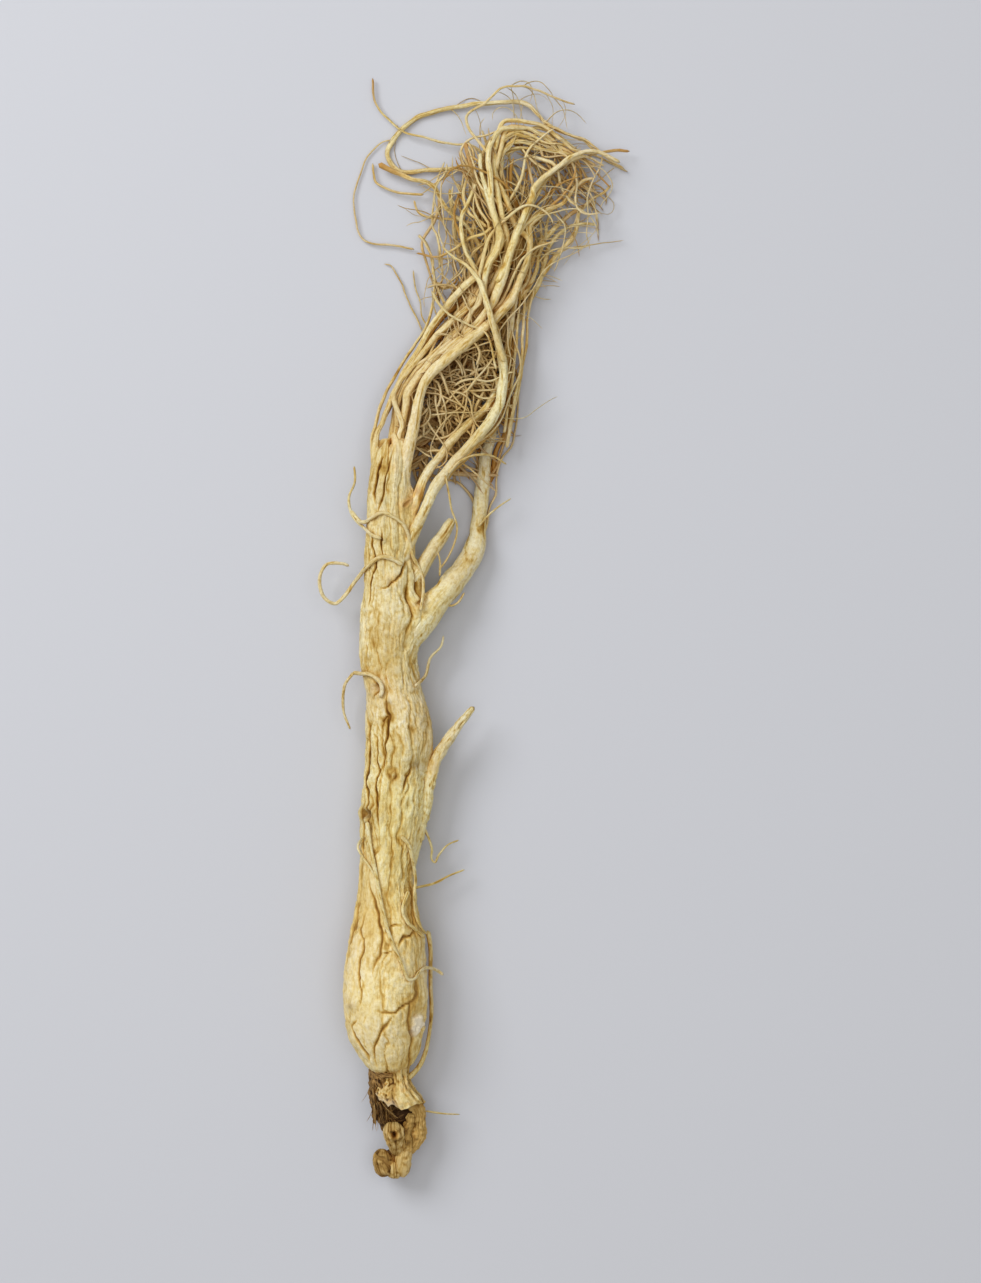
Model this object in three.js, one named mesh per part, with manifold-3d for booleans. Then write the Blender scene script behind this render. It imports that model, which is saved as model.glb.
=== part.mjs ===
// A whole dried ginseng root with its rootlets, lying on its side as it dried.
// It grew as one piece: a knobbly rhizome, a long main root, side roots and the tuft of rootlets,
// so it is one solid.
//
// Units are millimetres. +Y runs from the rhizome to the tips of the rootlets, +X is to the right of
// that, and +Z is up. The origin is on the surface that the root lies on, under its thick shoulder.

import * as THREE from 'three';
import { mergeVertices } from 'three/addons/utils/BufferGeometryUtils.js';
import Module from 'manifold-3d';

const wasm = await Module();
wasm.setup();

// ---------------------------------------------------------------- driving dimensions

const FLATNESS = 0.92; // height over width of the main root, which shrank lying down
const PRESSED = 0.25; // how far the underside is pressed flat where it rests
const CAP_STEPS = 3; // rings that round off an end
const COLOUR = 0xdcc184; // pale straw

// The main root, as [along, across, width, lift]: lift is the gap between its underside and the surface.
const MAIN_ROOT = [
  [-15.5, 1.2, 7.0, 3.6],
  [-13.0, 1.0, 8.6, 3.0],
  [-9.5, 0.5, 13.0, 1.4],
  [-4.8, 0.1, 16.6, 0.2],
  [0.0, 0.0, 18.0, 0.0],
  [5.0, 0.0, 17.6, 0.0],
  [12.4, 0.3, 16.2, 0.3],
  [19.0, 0.2, 13.8, 1.1],
  [25.5, 0.0, 11.7, 1.9],
  [32.0, 0.9, 12.4, 1.3],
  [40.0, 1.4, 13.3, 0.7],
  [47.5, 2.3, 13.4, 0.2],
  [54.0, 3.0, 14.5, 0.0],
  [59.0, 2.6, 14.0, 0.0],
  [65.0, 1.8, 12.3, 0.8],
  [73.0, 0.7, 12.0, 1.3],
  [80.5, 0.9, 12.4, 1.6],
  [87.0, 1.0, 11.0, 2.2],
  [95.0, 0.7, 10.1, 2.8],
  [104.0, 0.7, 9.4, 3.3],
  [111.0, 0.9, 8.8, 3.8],
  [116.0, 1.3, 7.6, 4.4],
  [120.0, 2.0, 4.4, 5.8],
];

// Every other piece of root, as [across, along, height, diameter] down its middle.

// The rhizome: a ridged block, a lump on its right, and the cup and curled knob of old stem scars.
const RHIZOME = {
  block: [
    [1.1, -11.5, 7.4, 8.8], [1.2, -15.0, 7.4, 10.0], [1.5, -19.0, 7.2, 11.0], [2.2, -22.6, 7.0, 11.8],
    [3.2, -25.8, 6.8, 10.4], [4.4, -28.6, 6.4, 7.0],
  ],
  lump: [[4.4, -20.5, 8.2, 6.4], [5.0, -24.0, 8.4, 7.0], [5.0, -27.2, 7.6, 6.6], [4.4, -30.2, 6.4, 5.0]],
  cup: [[2.4, -23.0, 7.6, 5.6], [1.8, -26.0, 8.2, 5.4], [1.6, -28.6, 7.8, 5.0]],
  knob: [[4.8, -26.8, 6.4, 6.0], [3.9, -30.0, 5.8, 6.8], [2.2, -33.0, 5.2, 7.6], [1.2, -36.0, 5.0, 5.8]],
};

// Side roots that leave the main root, and the stubs of broken ones.
const SIDE_ROOTS = {
  lower_leg: [
    [2.8, 74.5, 7.2, 7.6], [6.6, 79.0, 7.0, 6.8], [10.2, 83.4, 6.4, 5.4], [13.4, 86.9, 5.8, 4.9],
    [16.3, 90.7, 4.4, 4.7], [18.6, 95.0, 3.2, 4.3], [19.6, 99.5, 2.2, 3.9], [20.1, 104.6, 1.75, 3.6],
    [20.5, 109.6, 1.65, 3.4], [21.0, 114.6, 1.4, 2.9], [22.4, 120.0, 1.0, 2.1], [24.4, 127.0, 0.82, 1.7],
    [25.8, 135.0, 0.72, 1.5], [25.4, 144.0, 0.62, 1.3], [27.6, 153.0, 0.57, 1.2], [32.4, 161.0, 0.47, 1.0],
  ],
  upper_leg: [
    [2.4, 96.0, 8.0, 4.6], [4.8, 100.6, 8.4, 3.4], [6.6, 105.4, 8.4, 2.7], [8.8, 110.6, 8.0, 2.3],
    [12.0, 115.2, 7.4, 2.1], [15.2, 118.9, 6.8, 2.0], [18.4, 121.9, 6.2, 1.9], [21.6, 125.2, 5.6, 1.9],
    [24.0, 129.6, 5.2, 1.8], [25.6, 136.0, 4.8, 1.8], [26.6, 143.0, 4.6, 1.7], [27.6, 150.6, 4.6, 1.6],
    [28.0, 158.0, 4.6, 1.5], [26.8, 165.0, 4.6, 1.4], [24.6, 171.0, 4.8, 1.3], [24.4, 176.8, 5.0, 1.2],
    [27.0, 181.0, 4.6, 1.1], [31.4, 183.4, 4.0, 1.0], [36.4, 181.8, 3.2, 0.9], [41.0, 178.4, 2.4, 0.8],
  ],
  pale_leg: [
    [3.0, 92.4, 8.0, 4.4], [5.4, 96.4, 9.2, 3.2], [7.6, 101.4, 9.4, 2.7], [10.3, 107.0, 9.2, 2.5],
    [13.2, 111.2, 9.0, 2.4], [16.3, 114.8, 8.8, 2.4], [19.4, 118.3, 8.6, 2.4], [22.3, 122.0, 8.4, 2.4],
    [24.2, 126.2, 8.0, 2.3], [24.7, 131.0, 7.6, 2.1], [24.0, 136.4, 7.2, 1.9], [22.8, 142.0, 7.0, 1.7],
    [21.0, 147.6, 6.8, 1.5], [18.2, 152.6, 6.4, 1.3], [14.8, 156.2, 5.8, 1.1], [11.2, 160.6, 5.0, 0.9],
  ],
  short_leg: [[3.4, 84.5, 6.8, 4.0], [7.2, 90.0, 7.2, 3.0], [10.4, 95.4, 7.2, 2.7], [13.6, 99.8, 7.0, 2.3]],
  broken_leg: [
    [4.6, 30.0, 7.0, 4.0], [7.4, 37.0, 7.2, 3.2], [8.8, 44.0, 7.4, 2.9],
    [10.2, 50.4, 7.6, 3.0], [14.0, 56.4, 7.8, 2.6], [18.6, 61.8, 7.6, 1.7],
  ],
};

// The long strands that the tip of the main root splits into.
const STRANDS = {
  right: [
    [3.0, 110.5, 8.6, 4.6], [4.6, 115.0, 9.4, 3.0], [5.9, 119.0, 9.8, 2.4], [6.8, 123.4, 9.6, 2.2],
    [7.6, 127.6, 9.2, 2.2], [10.6, 131.6, 8.8, 2.2], [14.1, 134.8, 8.4, 2.2], [17.6, 137.6, 8.0, 2.1],
    [21.0, 140.2, 7.6, 2.0], [24.2, 143.6, 7.2, 1.9], [27.0, 148.4, 6.8, 1.8], [29.0, 154.0, 6.4, 1.6],
    [30.0, 160.0, 6.0, 1.5], [31.2, 166.0, 5.6, 1.3], [34.4, 171.6, 4.8, 1.2], [39.6, 176.2, 3.8, 1.0],
    [45.8, 178.4, 2.6, 0.8],
  ],
  middle: [
    [1.9, 111.0, 8.4, 4.4], [2.6, 116.4, 8.4, 2.9], [3.6, 121.0, 8.0, 2.3], [4.8, 126.0, 7.6, 2.1],
    [7.0, 130.6, 7.0, 2.0], [10.6, 134.8, 6.4, 2.0], [14.8, 138.2, 5.8, 1.9], [19.0, 141.8, 5.4, 1.8],
    [22.6, 146.2, 5.2, 1.8], [24.8, 152.0, 6.2, 1.7], [25.4, 158.6, 7.0, 1.6], [24.2, 165.4, 7.2, 1.5],
    [22.0, 171.6, 7.2, 1.4], [21.6, 177.8, 6.8, 1.3], [23.8, 182.8, 6.2, 1.2], [28.4, 184.6, 5.6, 1.1],
    [33.6, 182.6, 4.8, 1.0], [38.8, 178.8, 3.8, 0.9], [43.6, 173.6, 1.6, 0.8], [47.0, 167.4, 0.4, 0.8],
  ],
  inner: [
    [1.0, 112.0, 7.6, 4.0], [1.6, 117.8, 7.0, 2.5], [2.0, 122.6, 6.2, 2.0], [3.2, 128.2, 5.2, 1.8],
    [6.0, 133.4, 4.4, 1.8], [10.0, 137.6, 3.6, 1.7], [14.2, 142.0, 3.0, 1.7], [18.2, 147.4, 2.8, 1.6],
    [21.8, 153.2, 3.0, 1.6], [23.8, 159.4, 3.4, 1.5], [22.8, 165.8, 3.6, 1.4], [20.4, 171.0, 3.2, 1.3],
    [15.6, 174.8, 2.2, 1.2], [9.6, 175.0, 1.2, 1.2], [4.2, 174.6, 0.6, 1.2], [0.8, 177.2, 0.57, 1.2],
    [0.9, 181.6, 0.52, 1.1], [4.4, 185.6, 0.55, 1.1], [10.6, 188.0, 0.8, 1.0], [18.0, 189.2, 1.2, 1.0],
    [25.6, 189.4, 1.6, 0.9], [31.2, 187.6, 1.6, 0.8], [35.4, 182.4, 1.2, 0.8], [40.4, 178.8, 0.7, 0.7],
    [46.0, 177.4, 0.35, 0.7], [51.4, 174.6, 0.32, 0.7],
  ],
  left: [
    [-0.8, 111.5, 7.4, 4.0], [-2.2, 116.4, 6.8, 2.4], [-1.8, 121.4, 5.8, 1.8], [0.2, 126.6, 4.6, 1.6],
    [2.2, 131.8, 3.6, 1.5], [4.6, 137.0, 2.8, 1.5], [7.2, 142.0, 2.0, 1.4], [8.9, 148.0, 1.4, 1.3],
    [8.4, 154.6, 0.7, 1.2], [6.0, 160.2, 0.5, 1.1], [5.0, 166.0, 0.5, 1.0], [7.4, 170.6, 0.7, 0.9],
    [4.2, 173.4, 1.6, 1.1], [-2.1, 176.2, 2.2, 1.2],
  ],
  outer: [
    [-1.6, 112.5, 8.0, 3.6], [-2.8, 117.0, 8.2, 2.0], [-1.4, 121.6, 7.6, 1.5], [0.8, 126.4, 6.8, 1.4],
    [3.6, 131.2, 5.8, 1.4], [6.9, 136.0, 4.8, 1.3], [10.2, 141.0, 4.4, 1.3], [14.2, 145.6, 4.6, 1.2],
    [18.8, 151.4, 5.0, 1.2], [20.8, 158.4, 5.2, 1.1], [19.0, 165.2, 5.0, 1.0], [17.6, 172.0, 4.6, 1.0],
    [15.2, 178.2, 3.8, 0.9], [9.8, 181.0, 3.0, 0.8], [3.8, 183.4, 2.4, 0.8], [-0.8, 186.6, 1.8, 0.8],
    [-2.6, 190.6, 1.0, 0.8], [-2.7, 194.6, 0.4, 0.8],
  ],
};

// ---------------------------------------------------------------- shaping

const UP = new THREE.Vector3(0, 0, 1);

/**
 * One length of root: a lathed spindle, closed at both ends, bent along the stations' middle line.
 * Each station is [x, y, z, diameter]; flatness is its height over its width.
 */
function grown(stations, sides, steps, flatness = 1) {
  const middle = new THREE.CatmullRomCurve3(stations.map(([x, y, z]) => new THREE.Vector3(x, y, z)));
  const girth = new THREE.CatmullRomCurve3(stations.map(([, , , d], i) => new THREE.Vector3(i, d / 2, 0)));
  const radiusAt = (t) => girth.getPoint(t).y;
  const length = middle.getLength();

  // The ends close as quarter circles, the rest follows the stations.
  const profile = [new THREE.Vector2(0, 0)];
  for (let i = 1; i <= CAP_STEPS; i += 1) {
    const turn = (i / CAP_STEPS) * (Math.PI / 2);
    profile.push(new THREE.Vector2(radiusAt(0) * Math.sin(turn), (radiusAt(0) * (1 - Math.cos(turn))) / length));
  }
  const first = profile[CAP_STEPS].y;
  const last = 1 - radiusAt(1) / length;
  for (let i = 1; i < steps; i += 1) {
    const t = first + ((last - first) * i) / steps;
    profile.push(new THREE.Vector2(radiusAt(t), t));
  }
  for (let i = 0; i <= CAP_STEPS; i += 1) {
    const turn = (i / CAP_STEPS) * (Math.PI / 2);
    const t = last + ((1 - last) * Math.sin(turn));
    profile.push(new THREE.Vector2(i === CAP_STEPS ? 0 : radiusAt(1) * Math.cos(turn), t));
  }

  const spindle = new THREE.LatheGeometry(profile, sides);
  const position = spindle.getAttribute('position');
  for (let i = 0; i < position.count; i += 1) {
    const t = THREE.MathUtils.clamp(position.getY(i), 0, 1);
    const tangent = middle.getTangent(t);
    const right = tangent.clone().cross(UP).normalize();
    const top = right.clone().cross(tangent);
    const place = middle.getPoint(t)
      .addScaledVector(right, position.getX(i))
      .addScaledVector(top, position.getZ(i) * flatness);
    position.setXYZ(i, place.x, place.y, place.z);
  }
  return spindle;
}

/** A closed geometry as a solid that can be joined and cut. */
function solidOf(geometry) {
  const bare = geometry.index ? geometry.toNonIndexed() : geometry.clone();
  bare.deleteAttribute('normal');
  bare.deleteAttribute('uv');
  const merged = mergeVertices(bare, 1e-3);
  const kept = [];
  for (let i = 0; i < merged.index.count; i += 3) {
    const [a, b, c] = [0, 1, 2].map((k) => merged.index.getX(i + k));
    if (a !== b && b !== c && c !== a) kept.push(a, b, c);
  }
  const solidFrom = (corners) => new wasm.Manifold(new wasm.Mesh({
    numProp: 3,
    vertProperties: new Float32Array(merged.getAttribute('position').array),
    triVerts: new Uint32Array(corners),
  }));
  const solid = solidFrom(kept);
  if (solid.volume() > 0) return solid;
  for (let i = 0; i < kept.length; i += 3) [kept[i + 1], kept[i + 2]] = [kept[i + 2], kept[i + 1]];
  return solidFrom(kept);
}

/** A solid's faces as a geometry with flat shading. */
function geometryOf(solid) {
  const { vertProperties, triVerts, numProp } = solid.getMesh();
  const places = new Float32Array((vertProperties.length / numProp) * 3);
  for (let i = 0; i < places.length / 3; i += 1) {
    places.set(vertProperties.subarray(i * numProp, i * numProp + 3), i * 3);
  }
  const shared = new THREE.BufferGeometry()
    .setAttribute('position', new THREE.BufferAttribute(places, 3))
    .setIndex(new THREE.BufferAttribute(triVerts, 1));
  const geometry = shared.toNonIndexed();
  geometry.computeVertexNormals();
  return geometry;
}

// ---------------------------------------------------------------- the root

/** The main root, whose height follows from how wide it is and how far it is lifted off the surface. */
function mainRoot() {
  const stations = MAIN_ROOT.map(([along, across, width, lift]) => [
    across,
    along,
    lift + (FLATNESS * width) / 2 - PRESSED,
    width,
  ]);
  return grown(stations, 22, 46, FLATNESS);
}

/** Everything below the surface that the root lies on. */
function surface() {
  const [width, depth] = [400, 20];
  return new THREE.BoxGeometry(width, width, depth).translate(0, width / 4, -depth / 2);
}

function wholeRoot() {
  const lengths = [
    mainRoot(),
    ...Object.values(RHIZOME).map((stations) => grown(stations, 12, 8)),
    ...Object.values(SIDE_ROOTS).map((stations) => grown(stations, 8, 2 * stations.length)),
    ...Object.values(STRANDS).map((stations) => grown(stations, 6, 2 * stations.length)),
  ];
  return lengths
    .map(solidOf)
    .reduce((whole, length) => whole.add(length))
    .subtract(solidOf(surface()));
}

const root = new THREE.Mesh(
  geometryOf(wholeRoot()),
  new THREE.MeshStandardMaterial({ color: COLOUR, roughness: 0.8, metalness: 0 }),
);
root.name = 'ginseng_root';

const group = new THREE.Group();
group.add(root);

export default group;
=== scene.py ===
import math

import bmesh
import bpy
import numpy as np
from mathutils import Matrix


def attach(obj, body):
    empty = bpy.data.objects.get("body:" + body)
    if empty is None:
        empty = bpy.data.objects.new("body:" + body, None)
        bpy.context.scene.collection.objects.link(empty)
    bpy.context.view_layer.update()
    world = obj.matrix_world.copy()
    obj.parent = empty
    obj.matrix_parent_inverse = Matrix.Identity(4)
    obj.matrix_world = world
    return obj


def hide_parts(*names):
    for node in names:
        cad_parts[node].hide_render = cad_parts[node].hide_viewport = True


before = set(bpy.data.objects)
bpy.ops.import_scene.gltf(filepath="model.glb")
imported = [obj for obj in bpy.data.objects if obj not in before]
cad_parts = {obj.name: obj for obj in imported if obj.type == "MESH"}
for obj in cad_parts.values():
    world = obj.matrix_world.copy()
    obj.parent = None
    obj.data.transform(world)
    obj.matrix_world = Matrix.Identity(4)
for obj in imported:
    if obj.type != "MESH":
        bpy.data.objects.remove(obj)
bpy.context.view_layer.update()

# ------------------------------------------------------------------------------------------------
# The main root: one long spindle of dense root tissue. It lost most of its water as it dried, so
# its skin has sunk into lengthwise folds and wrinkles between firm ribs, with scars where rootlets
# broke off. It is pressed slightly flat where it rests.

MM = 0.001
SEAM = 1e-7  # vertices closer than this, in metres, are joined where a tube closes
FLATNESS = 0.92  # height over width
PRESSED = 0.25  # how far the underside is flattened, in millimetres

# Along, across, width, and the gap between the underside and the surface it lies on. These, and all
# the sizes and places of the root below, are in millimetres.
MAIN_ROOT = [(-15.6, 1.6, 5.6, 4.2), (-13.6, 1.3, 9, 2.8), (-11.8, 1.1, 11.6, 1.9), (-9, 0.8, 14.2, 1),
    (-4.8, 0.2, 16.9, 0.1), (0, 0, 18, 0), (5, 0, 17.6, 0), (12.4, 0.3, 16.2, 0.3), (19, 0.2, 13.8, 1.1),
    (25.5, 0, 11.7, 1.9), (32, 0.9, 12.4, 1.3), (40, 1.4, 13.3, 0.7), (47.5, 2.3, 13.4, 0.2),
    (54, 3, 14.5, 0), (59, 2.6, 14, 0), (65, 1.8, 12.3, 0.8), (73, 0.7, 12, 1.3), (80.5, 0.9, 12.4, 1.6),
    (87, 1, 11, 2.2), (95, 0.7, 10.1, 2.8), (104, 0.7, 9.4, 3.3), (110, 0.9, 8.8, 3.8),
    (113.4, 1.1, 7.8, 4.2), (115.6, 1.3, 6.4, 4.7), (117.2, 1.2, 5.2, 5.2)]
# Rings along the root, and sides round it.
MAIN_RINGS = 440
MAIN_SIDES = 220


def resampled(rows, count, steps=24):
    """Rows spaced evenly along a smooth curve through the given ones, and how far along each is."""
    rows = np.array(rows, float)
    padded = np.vstack([2 * rows[0] - rows[1], rows, 2 * rows[-1] - rows[-2]])
    t = np.linspace(0, 1, steps, endpoint=False)[:, None]
    dense = []
    for a, b, c, d in zip(padded, padded[1:], padded[2:], padded[3:]):
        dense.append(b + 0.5 * t * (c - a + t * (2 * a - 5 * b + 4 * c - d + t * (3 * (b - c) + d - a))))
    dense = np.vstack(dense + [rows[-1:]])
    run = np.r_[0, np.cumsum(np.linalg.norm(np.diff(dense[:, :3], axis=0), axis=1))]
    even = np.linspace(0, run[-1], count)
    return np.column_stack([np.interp(even, run, column) for column in dense.T]), even


def ripple(x, y, z, seed):
    """Smooth noise of about -1 to 1, with features about one unit across."""
    point = np.stack(np.broadcast_arrays(x, y, z), axis=-1).astype(float)
    cell = np.floor(point).astype(np.int64)
    inside = point - cell
    ease = inside**3 * (inside * (inside * 6 - 15) + 10)
    total = np.zeros(point.shape[:-1])
    for corner in np.ndindex(2, 2, 2):
        # Large primes scramble the corner's place into a slope of its own.
        at = (cell + corner) * (73856093, 19349663, 83492791)
        mix = at[..., 0] ^ at[..., 1] ^ at[..., 2] ^ (seed * 26544357)
        mix = ((mix ^ (mix >> 13)) * 1274126177) & 0x7FFFFFFF
        mix ^= mix >> 16
        lean = np.stack([mix & 255, (mix >> 8) & 255, (mix >> 16) & 255], axis=-1) / 127.5 - 1
        weight = np.prod(np.where(corner, ease, 1 - ease), axis=-1)
        total += weight * ((inside - corner) * lean).sum(axis=-1)
    return total * 1.6


def groove(noise, width):
    """1 at the bottom of the furrows where the noise changes sign, falling to 0 on the ribs."""
    return (1 - np.clip(np.abs(noise) / width, 0, 1)) ** 1.6


def rolled_tube(bm, skin, marks):
    """A grid rolled into a closed tube. skin[i, j] is the place of ring i, side j, in millimetres,
    and marks holds the same layout of values for each named layer."""
    rings, sides = skin.shape[0] - 1, skin.shape[1]
    made = bmesh.ops.create_grid(bm, x_segments=sides, y_segments=rings, size=0.5)["verts"]
    layers = {name: bm.verts.layers.float[name] for name in marks if name != "grain"}
    grain = bm.verts.layers.float_vector["grain"]
    for vert in made:
        side = round((vert.co.x + 0.5) * sides) % sides
        ring = round((vert.co.y + 0.5) * rings)
        vert.co = skin[ring, side] * MM
        vert[grain] = marks["grain"][ring, side]
        for name, layer in layers.items():
            vert[layer] = marks[name][ring, side]
    bmesh.ops.remove_doubles(bm, verts=made, dist=SEAM)


# What the skin's material reads: how deep in a furrow, scarred, aged, reddened and torn each place is.
MARKS = ("hollow", "scar", "age", "rust", "torn")


def new_skin_mesh():
    """An empty bmesh with a layer for each mark, and one for the grain of the skin."""
    bm = bmesh.new()
    for name in MARKS:
        bm.verts.layers.float.new(name)
    bm.verts.layers.float_vector.new("grain")
    return bm


def skin_marks(shape, grain, **given):
    """The marks given, and 0 for the rest, ring by ring and side by side, with the place in the grain."""
    marks = {name: np.broadcast_to(given.get(name, 0.0), shape) for name in MARKS}
    marks["grain"] = np.stack(np.broadcast_arrays(*grain), axis=-1)
    return marks


def finished_piece(bm, name):
    """Turns the bmesh into a smooth object with the root's skin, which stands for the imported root."""
    bmesh.ops.recalc_face_normals(bm, faces=bm.faces)
    mesh = bpy.data.meshes.new(name)
    bm.to_mesh(mesh)
    bm.free()
    mesh.shade_smooth()
    mesh.materials.append(root_skin)
    piece = bpy.data.objects.new(name, mesh)
    bpy.context.scene.collection.objects.link(piece)
    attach(piece, "root")
    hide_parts("ginseng_root")


def wrinkles(angle, along, seed, scale=1.0, crowd=1.0):
    """Height of the folded skin in millimetres, and how deep in a furrow each point is, 0 to 1.
    A thinner root has smaller folds, by scale, and fewer round it, by crowd."""
    x, y, z = crowd * np.cos(angle), crowd * np.sin(angle), along / scale
    # The folds wander round the root as they run along it, slowly, quicker and quickest.
    drift = 0.20 * ripple(x * 1.3, y * 1.3, z / 12, seed) + 0.17 * ripple(x * 3, y * 3, z / 4.2, seed + 1)
    drift += 0.06 * ripple(x * 7, y * 7, z / 1.7, seed + 8)
    x, y = crowd * np.cos(angle + drift), crowd * np.sin(angle + drift)
    # How strong the folds and the ribs are from place to place.
    heavy = np.clip(0.6 + 0.9 * ripple(x, y, z / 12, seed + 6), 0.05, 1.2)
    light = np.clip(0.7 + 0.8 * ripple(x * 2, y * 2, z / 7, seed + 10), 0.1, 1.1)
    # Long folds, shorter ribs, fine lines, cross wrinkles, broad swellings and pebbled skin.
    fold = ripple(x * 1.8, y * 1.8, z / 40, seed + 2)
    rib = ripple(x * 3.6, y * 3.6, z / 19, seed + 3)
    fine = ripple(x * 7, y * 7, z / 4, seed + 4)
    cross = groove(ripple(x * 2.6, y * 2.6, z / 1.9, seed + 5), 0.16) * light
    swell = 0.34 * ripple(x * 1.5, y * 1.5, z / 8, seed + 7) + 0.16 * ripple(x * 4, y * 4, z / 3, seed + 9)
    pebbles = ripple(x * 9, y * 9, z / 1.1, seed + 12)
    # A furrow is a wide valley with a narrow, sharp and darker line along its bottom.
    height = swell - heavy * (0.40 * groove(fold, 0.5) + 0.34 * groove(fold, 0.14))
    height -= light * (0.26 * groove(rib, 0.5) + 0.14 * groove(rib, 0.16)) + 0.14 * groove(fine, 0.5)
    height += 0.13 * pebbles - 0.12 * cross
    heavy, light = heavy.clip(0, 1), light.clip(0, 1)
    open_skin = (1 - 0.85 * heavy * groove(fold, 0.13)) * (1 - 0.22 * heavy * groove(fold, 0.5))
    open_skin *= (1 - 0.45 * light * groove(rib, 0.16)) * (1 - 0.18 * groove(fine, 0.32))
    return height * scale, 1 - open_skin * (1 - 0.18 * cross) * (1 - 0.28 * np.clip(-pebbles, 0, 1))


def furrow(place, route, width):
    """1 on the route, as seen from above, falling to 0 beside it and towards its ends. It wavers
    a little to each side of the route."""
    waver = [ripple(place[..., 0] / 1.7, place[..., 1] / 2.6, 0.5, seed) for seed in (81, 82)]
    place = place + 0.55 * np.stack(waver, axis=-1)
    route = np.array(route, float)
    lengths = np.linalg.norm(np.diff(route, axis=0), axis=1)
    starts = np.r_[0, np.cumsum(lengths)]
    nearest = np.full(place.shape[:-1], np.inf)
    depth = np.zeros(place.shape[:-1])
    for a, b, length, start in zip(route, route[1:], lengths, starts):
        t = np.clip(((place - a) @ (b - a)) / length**2, 0, 1)
        apart = np.linalg.norm(place - a - t[..., None] * (b - a), axis=-1)
        fade = np.sin(math.pi * np.clip((start + t * length) / starts[-1], 0.02, 0.98)) ** 0.6
        depth = np.where(apart < nearest, fade, depth)
        nearest = np.minimum(apart, nearest)
    return depth * np.exp(-((nearest / (width * (0.6 + 0.4 * depth))) ** 2))


# Deep single creases on the upper side: depth, width, and the route across and along.
CREASES = [
    (0.6, 0.3, [(-2.1, -0.4), (0.4, -0.9), (2.7, -0.8), (4.7, 0.5), (6.9, 1.3)]),
    (0.6, 0.3, [(2.7, -1.2), (0.7, -3.2), (-1.2, -6.3), (-2.3, -8.5), (-2.1, -12.8)]),
    (0.7, 0.28, [(-3.5, 26.6), (-2.1, 22.4), (-0.9, 18.2), (-0.1, 15.4), (-0.7, 11.4), (-2.3, 8),
     (-2.1, 5.5)]),
    (0.7, 0.26, [(-4, 20.1), (-5.2, 16.2), (-4, 13.7), (-4.9, 9.7), (-5.4, 6.9), (-4.9, 1.9),
     (-5.7, -1.5)]),
    (0.7, 0.26, [(-5.7, -1.5), (-6.8, -3.8), (-4.9, -8.5), (-3.1, -12)]),
    (0.5, 0.24, [(1, 16.5), (2.4, 16.8), (3.8, 16.5)]),
    (0.4, 0.22, [(-0.4, 11.4), (0.8, 11.3), (1.9, 11.6)]),
    (0.8, 0.3, [(3, 12.3), (4.1, 14.2), (5.2, 15.1), (6.4, 15.4)]),
    (0.8, 0.28, [(5.5, 92.6), (4.3, 90.9), (2.4, 88), (0.8, 86.9), (-1.7, 85.9)]),
    (0.6, 0.24, [(1.4, 115), (-0.6, 113.4), (-1.6, 112.4), (-1.8, 109.6), (-2.2, 106.4), (-1.7, 103.4)]),
    (0.5, 0.22, [(2.2, 115.4), (0.8, 112.6), (0, 110), (-0.2, 106.6), (-0.8, 103.6), (-1.6, 101.4)]),
    (0.4, 0.22, [(-2.2, 99), (-2.6, 95.6), (-2, 92), (-2.8, 88), (-3.4, 82)]),
    (0.4, 0.22, [(-0.4, 99), (-0.8, 95), (-0.4, 92.8)]),
    (0.4, 0.26, [(0.2, 68), (0.8, 60), (0.2, 52), (-0.6, 46)]),
    (0.5, 0.24, [(-4.2, 62), (-3.2, 54), (-3.8, 46), (-3.4, 40), (-3.8, 31)]),
    (0.5, 0.24, [(-2.4, 58), (-1.6, 50), (-1.8, 42), (-1, 34)]),
    (0.5, 0.22, [(-2.6, 67.8), (-1.5, 66.6), (-0.9, 65.6), (-2, 64.6), (-3, 63.4)]),
    (0.4, 0.22, [(-0.8, 58.6), (0.2, 59.6), (1, 60.4)]),
    (0.5, 0.26, [(3.6, 44), (4.6, 47), (6.2, 50)]),
]
# Scars and pimples: across, along, radius, height of the rim, depth of the pit, and staining.
SCARS = [(-1.5, 65.8, 1.9, 0.35, 0.8, 0.5), (-3.6, 39.6, 1.7, 0.7, 1.7, 0.7),
    (1.2, 87.6, 1.6, 0.25, 0.4, 0.2), (5.9, 82.2, 1.2, 0.25, 0.3, 0.3), (-6.8, 0.2, 1, 0.35, 0, 0.5),
    (5.2, 22.8, 1.2, 0.4, 0, 0), (-6.9, 12, 0.6, 0.3, 0, 0.2), (2.2, 47.1, 1.6, 0.25, 0.3, 0.35),
    (0.9, 62.4, 1.5, 0.2, 0.3, 0.3), (6.9, 49.6, 1.8, 0, 0.3, 0.5), (-0.6, 104.8, 0.9, 0.2, 0.3, 0.2),
    (4.2, 103.2, 1, 0.3, 0.4, 0.5), (-0.4, 96.6, 0.7, 0.2, 0.3, 0.4)]
# Reddish-brown stains: across, along, radius and strength.
STAINS = [(4.6, 103.6, 1.5, 0.8), (5.6, 105.6, 1.6, 0.5), (6.4, 81.8, 1.6, 0.5), (2, 88.4, 1.5, 0.35),
    (-0.6, 65.6, 3, 0.25), (3, 63.4, 2.4, 0.2), (2, 111.6, 1, 0.4), (6, 9.5, 2.6, 0.2),
    (2.6, 47, 2.6, 0.15)]
# A pale patch where the skin was chipped away: its place and radius.
CHIP = ((7.3, -4.2, 11.6), 1.35)
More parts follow.
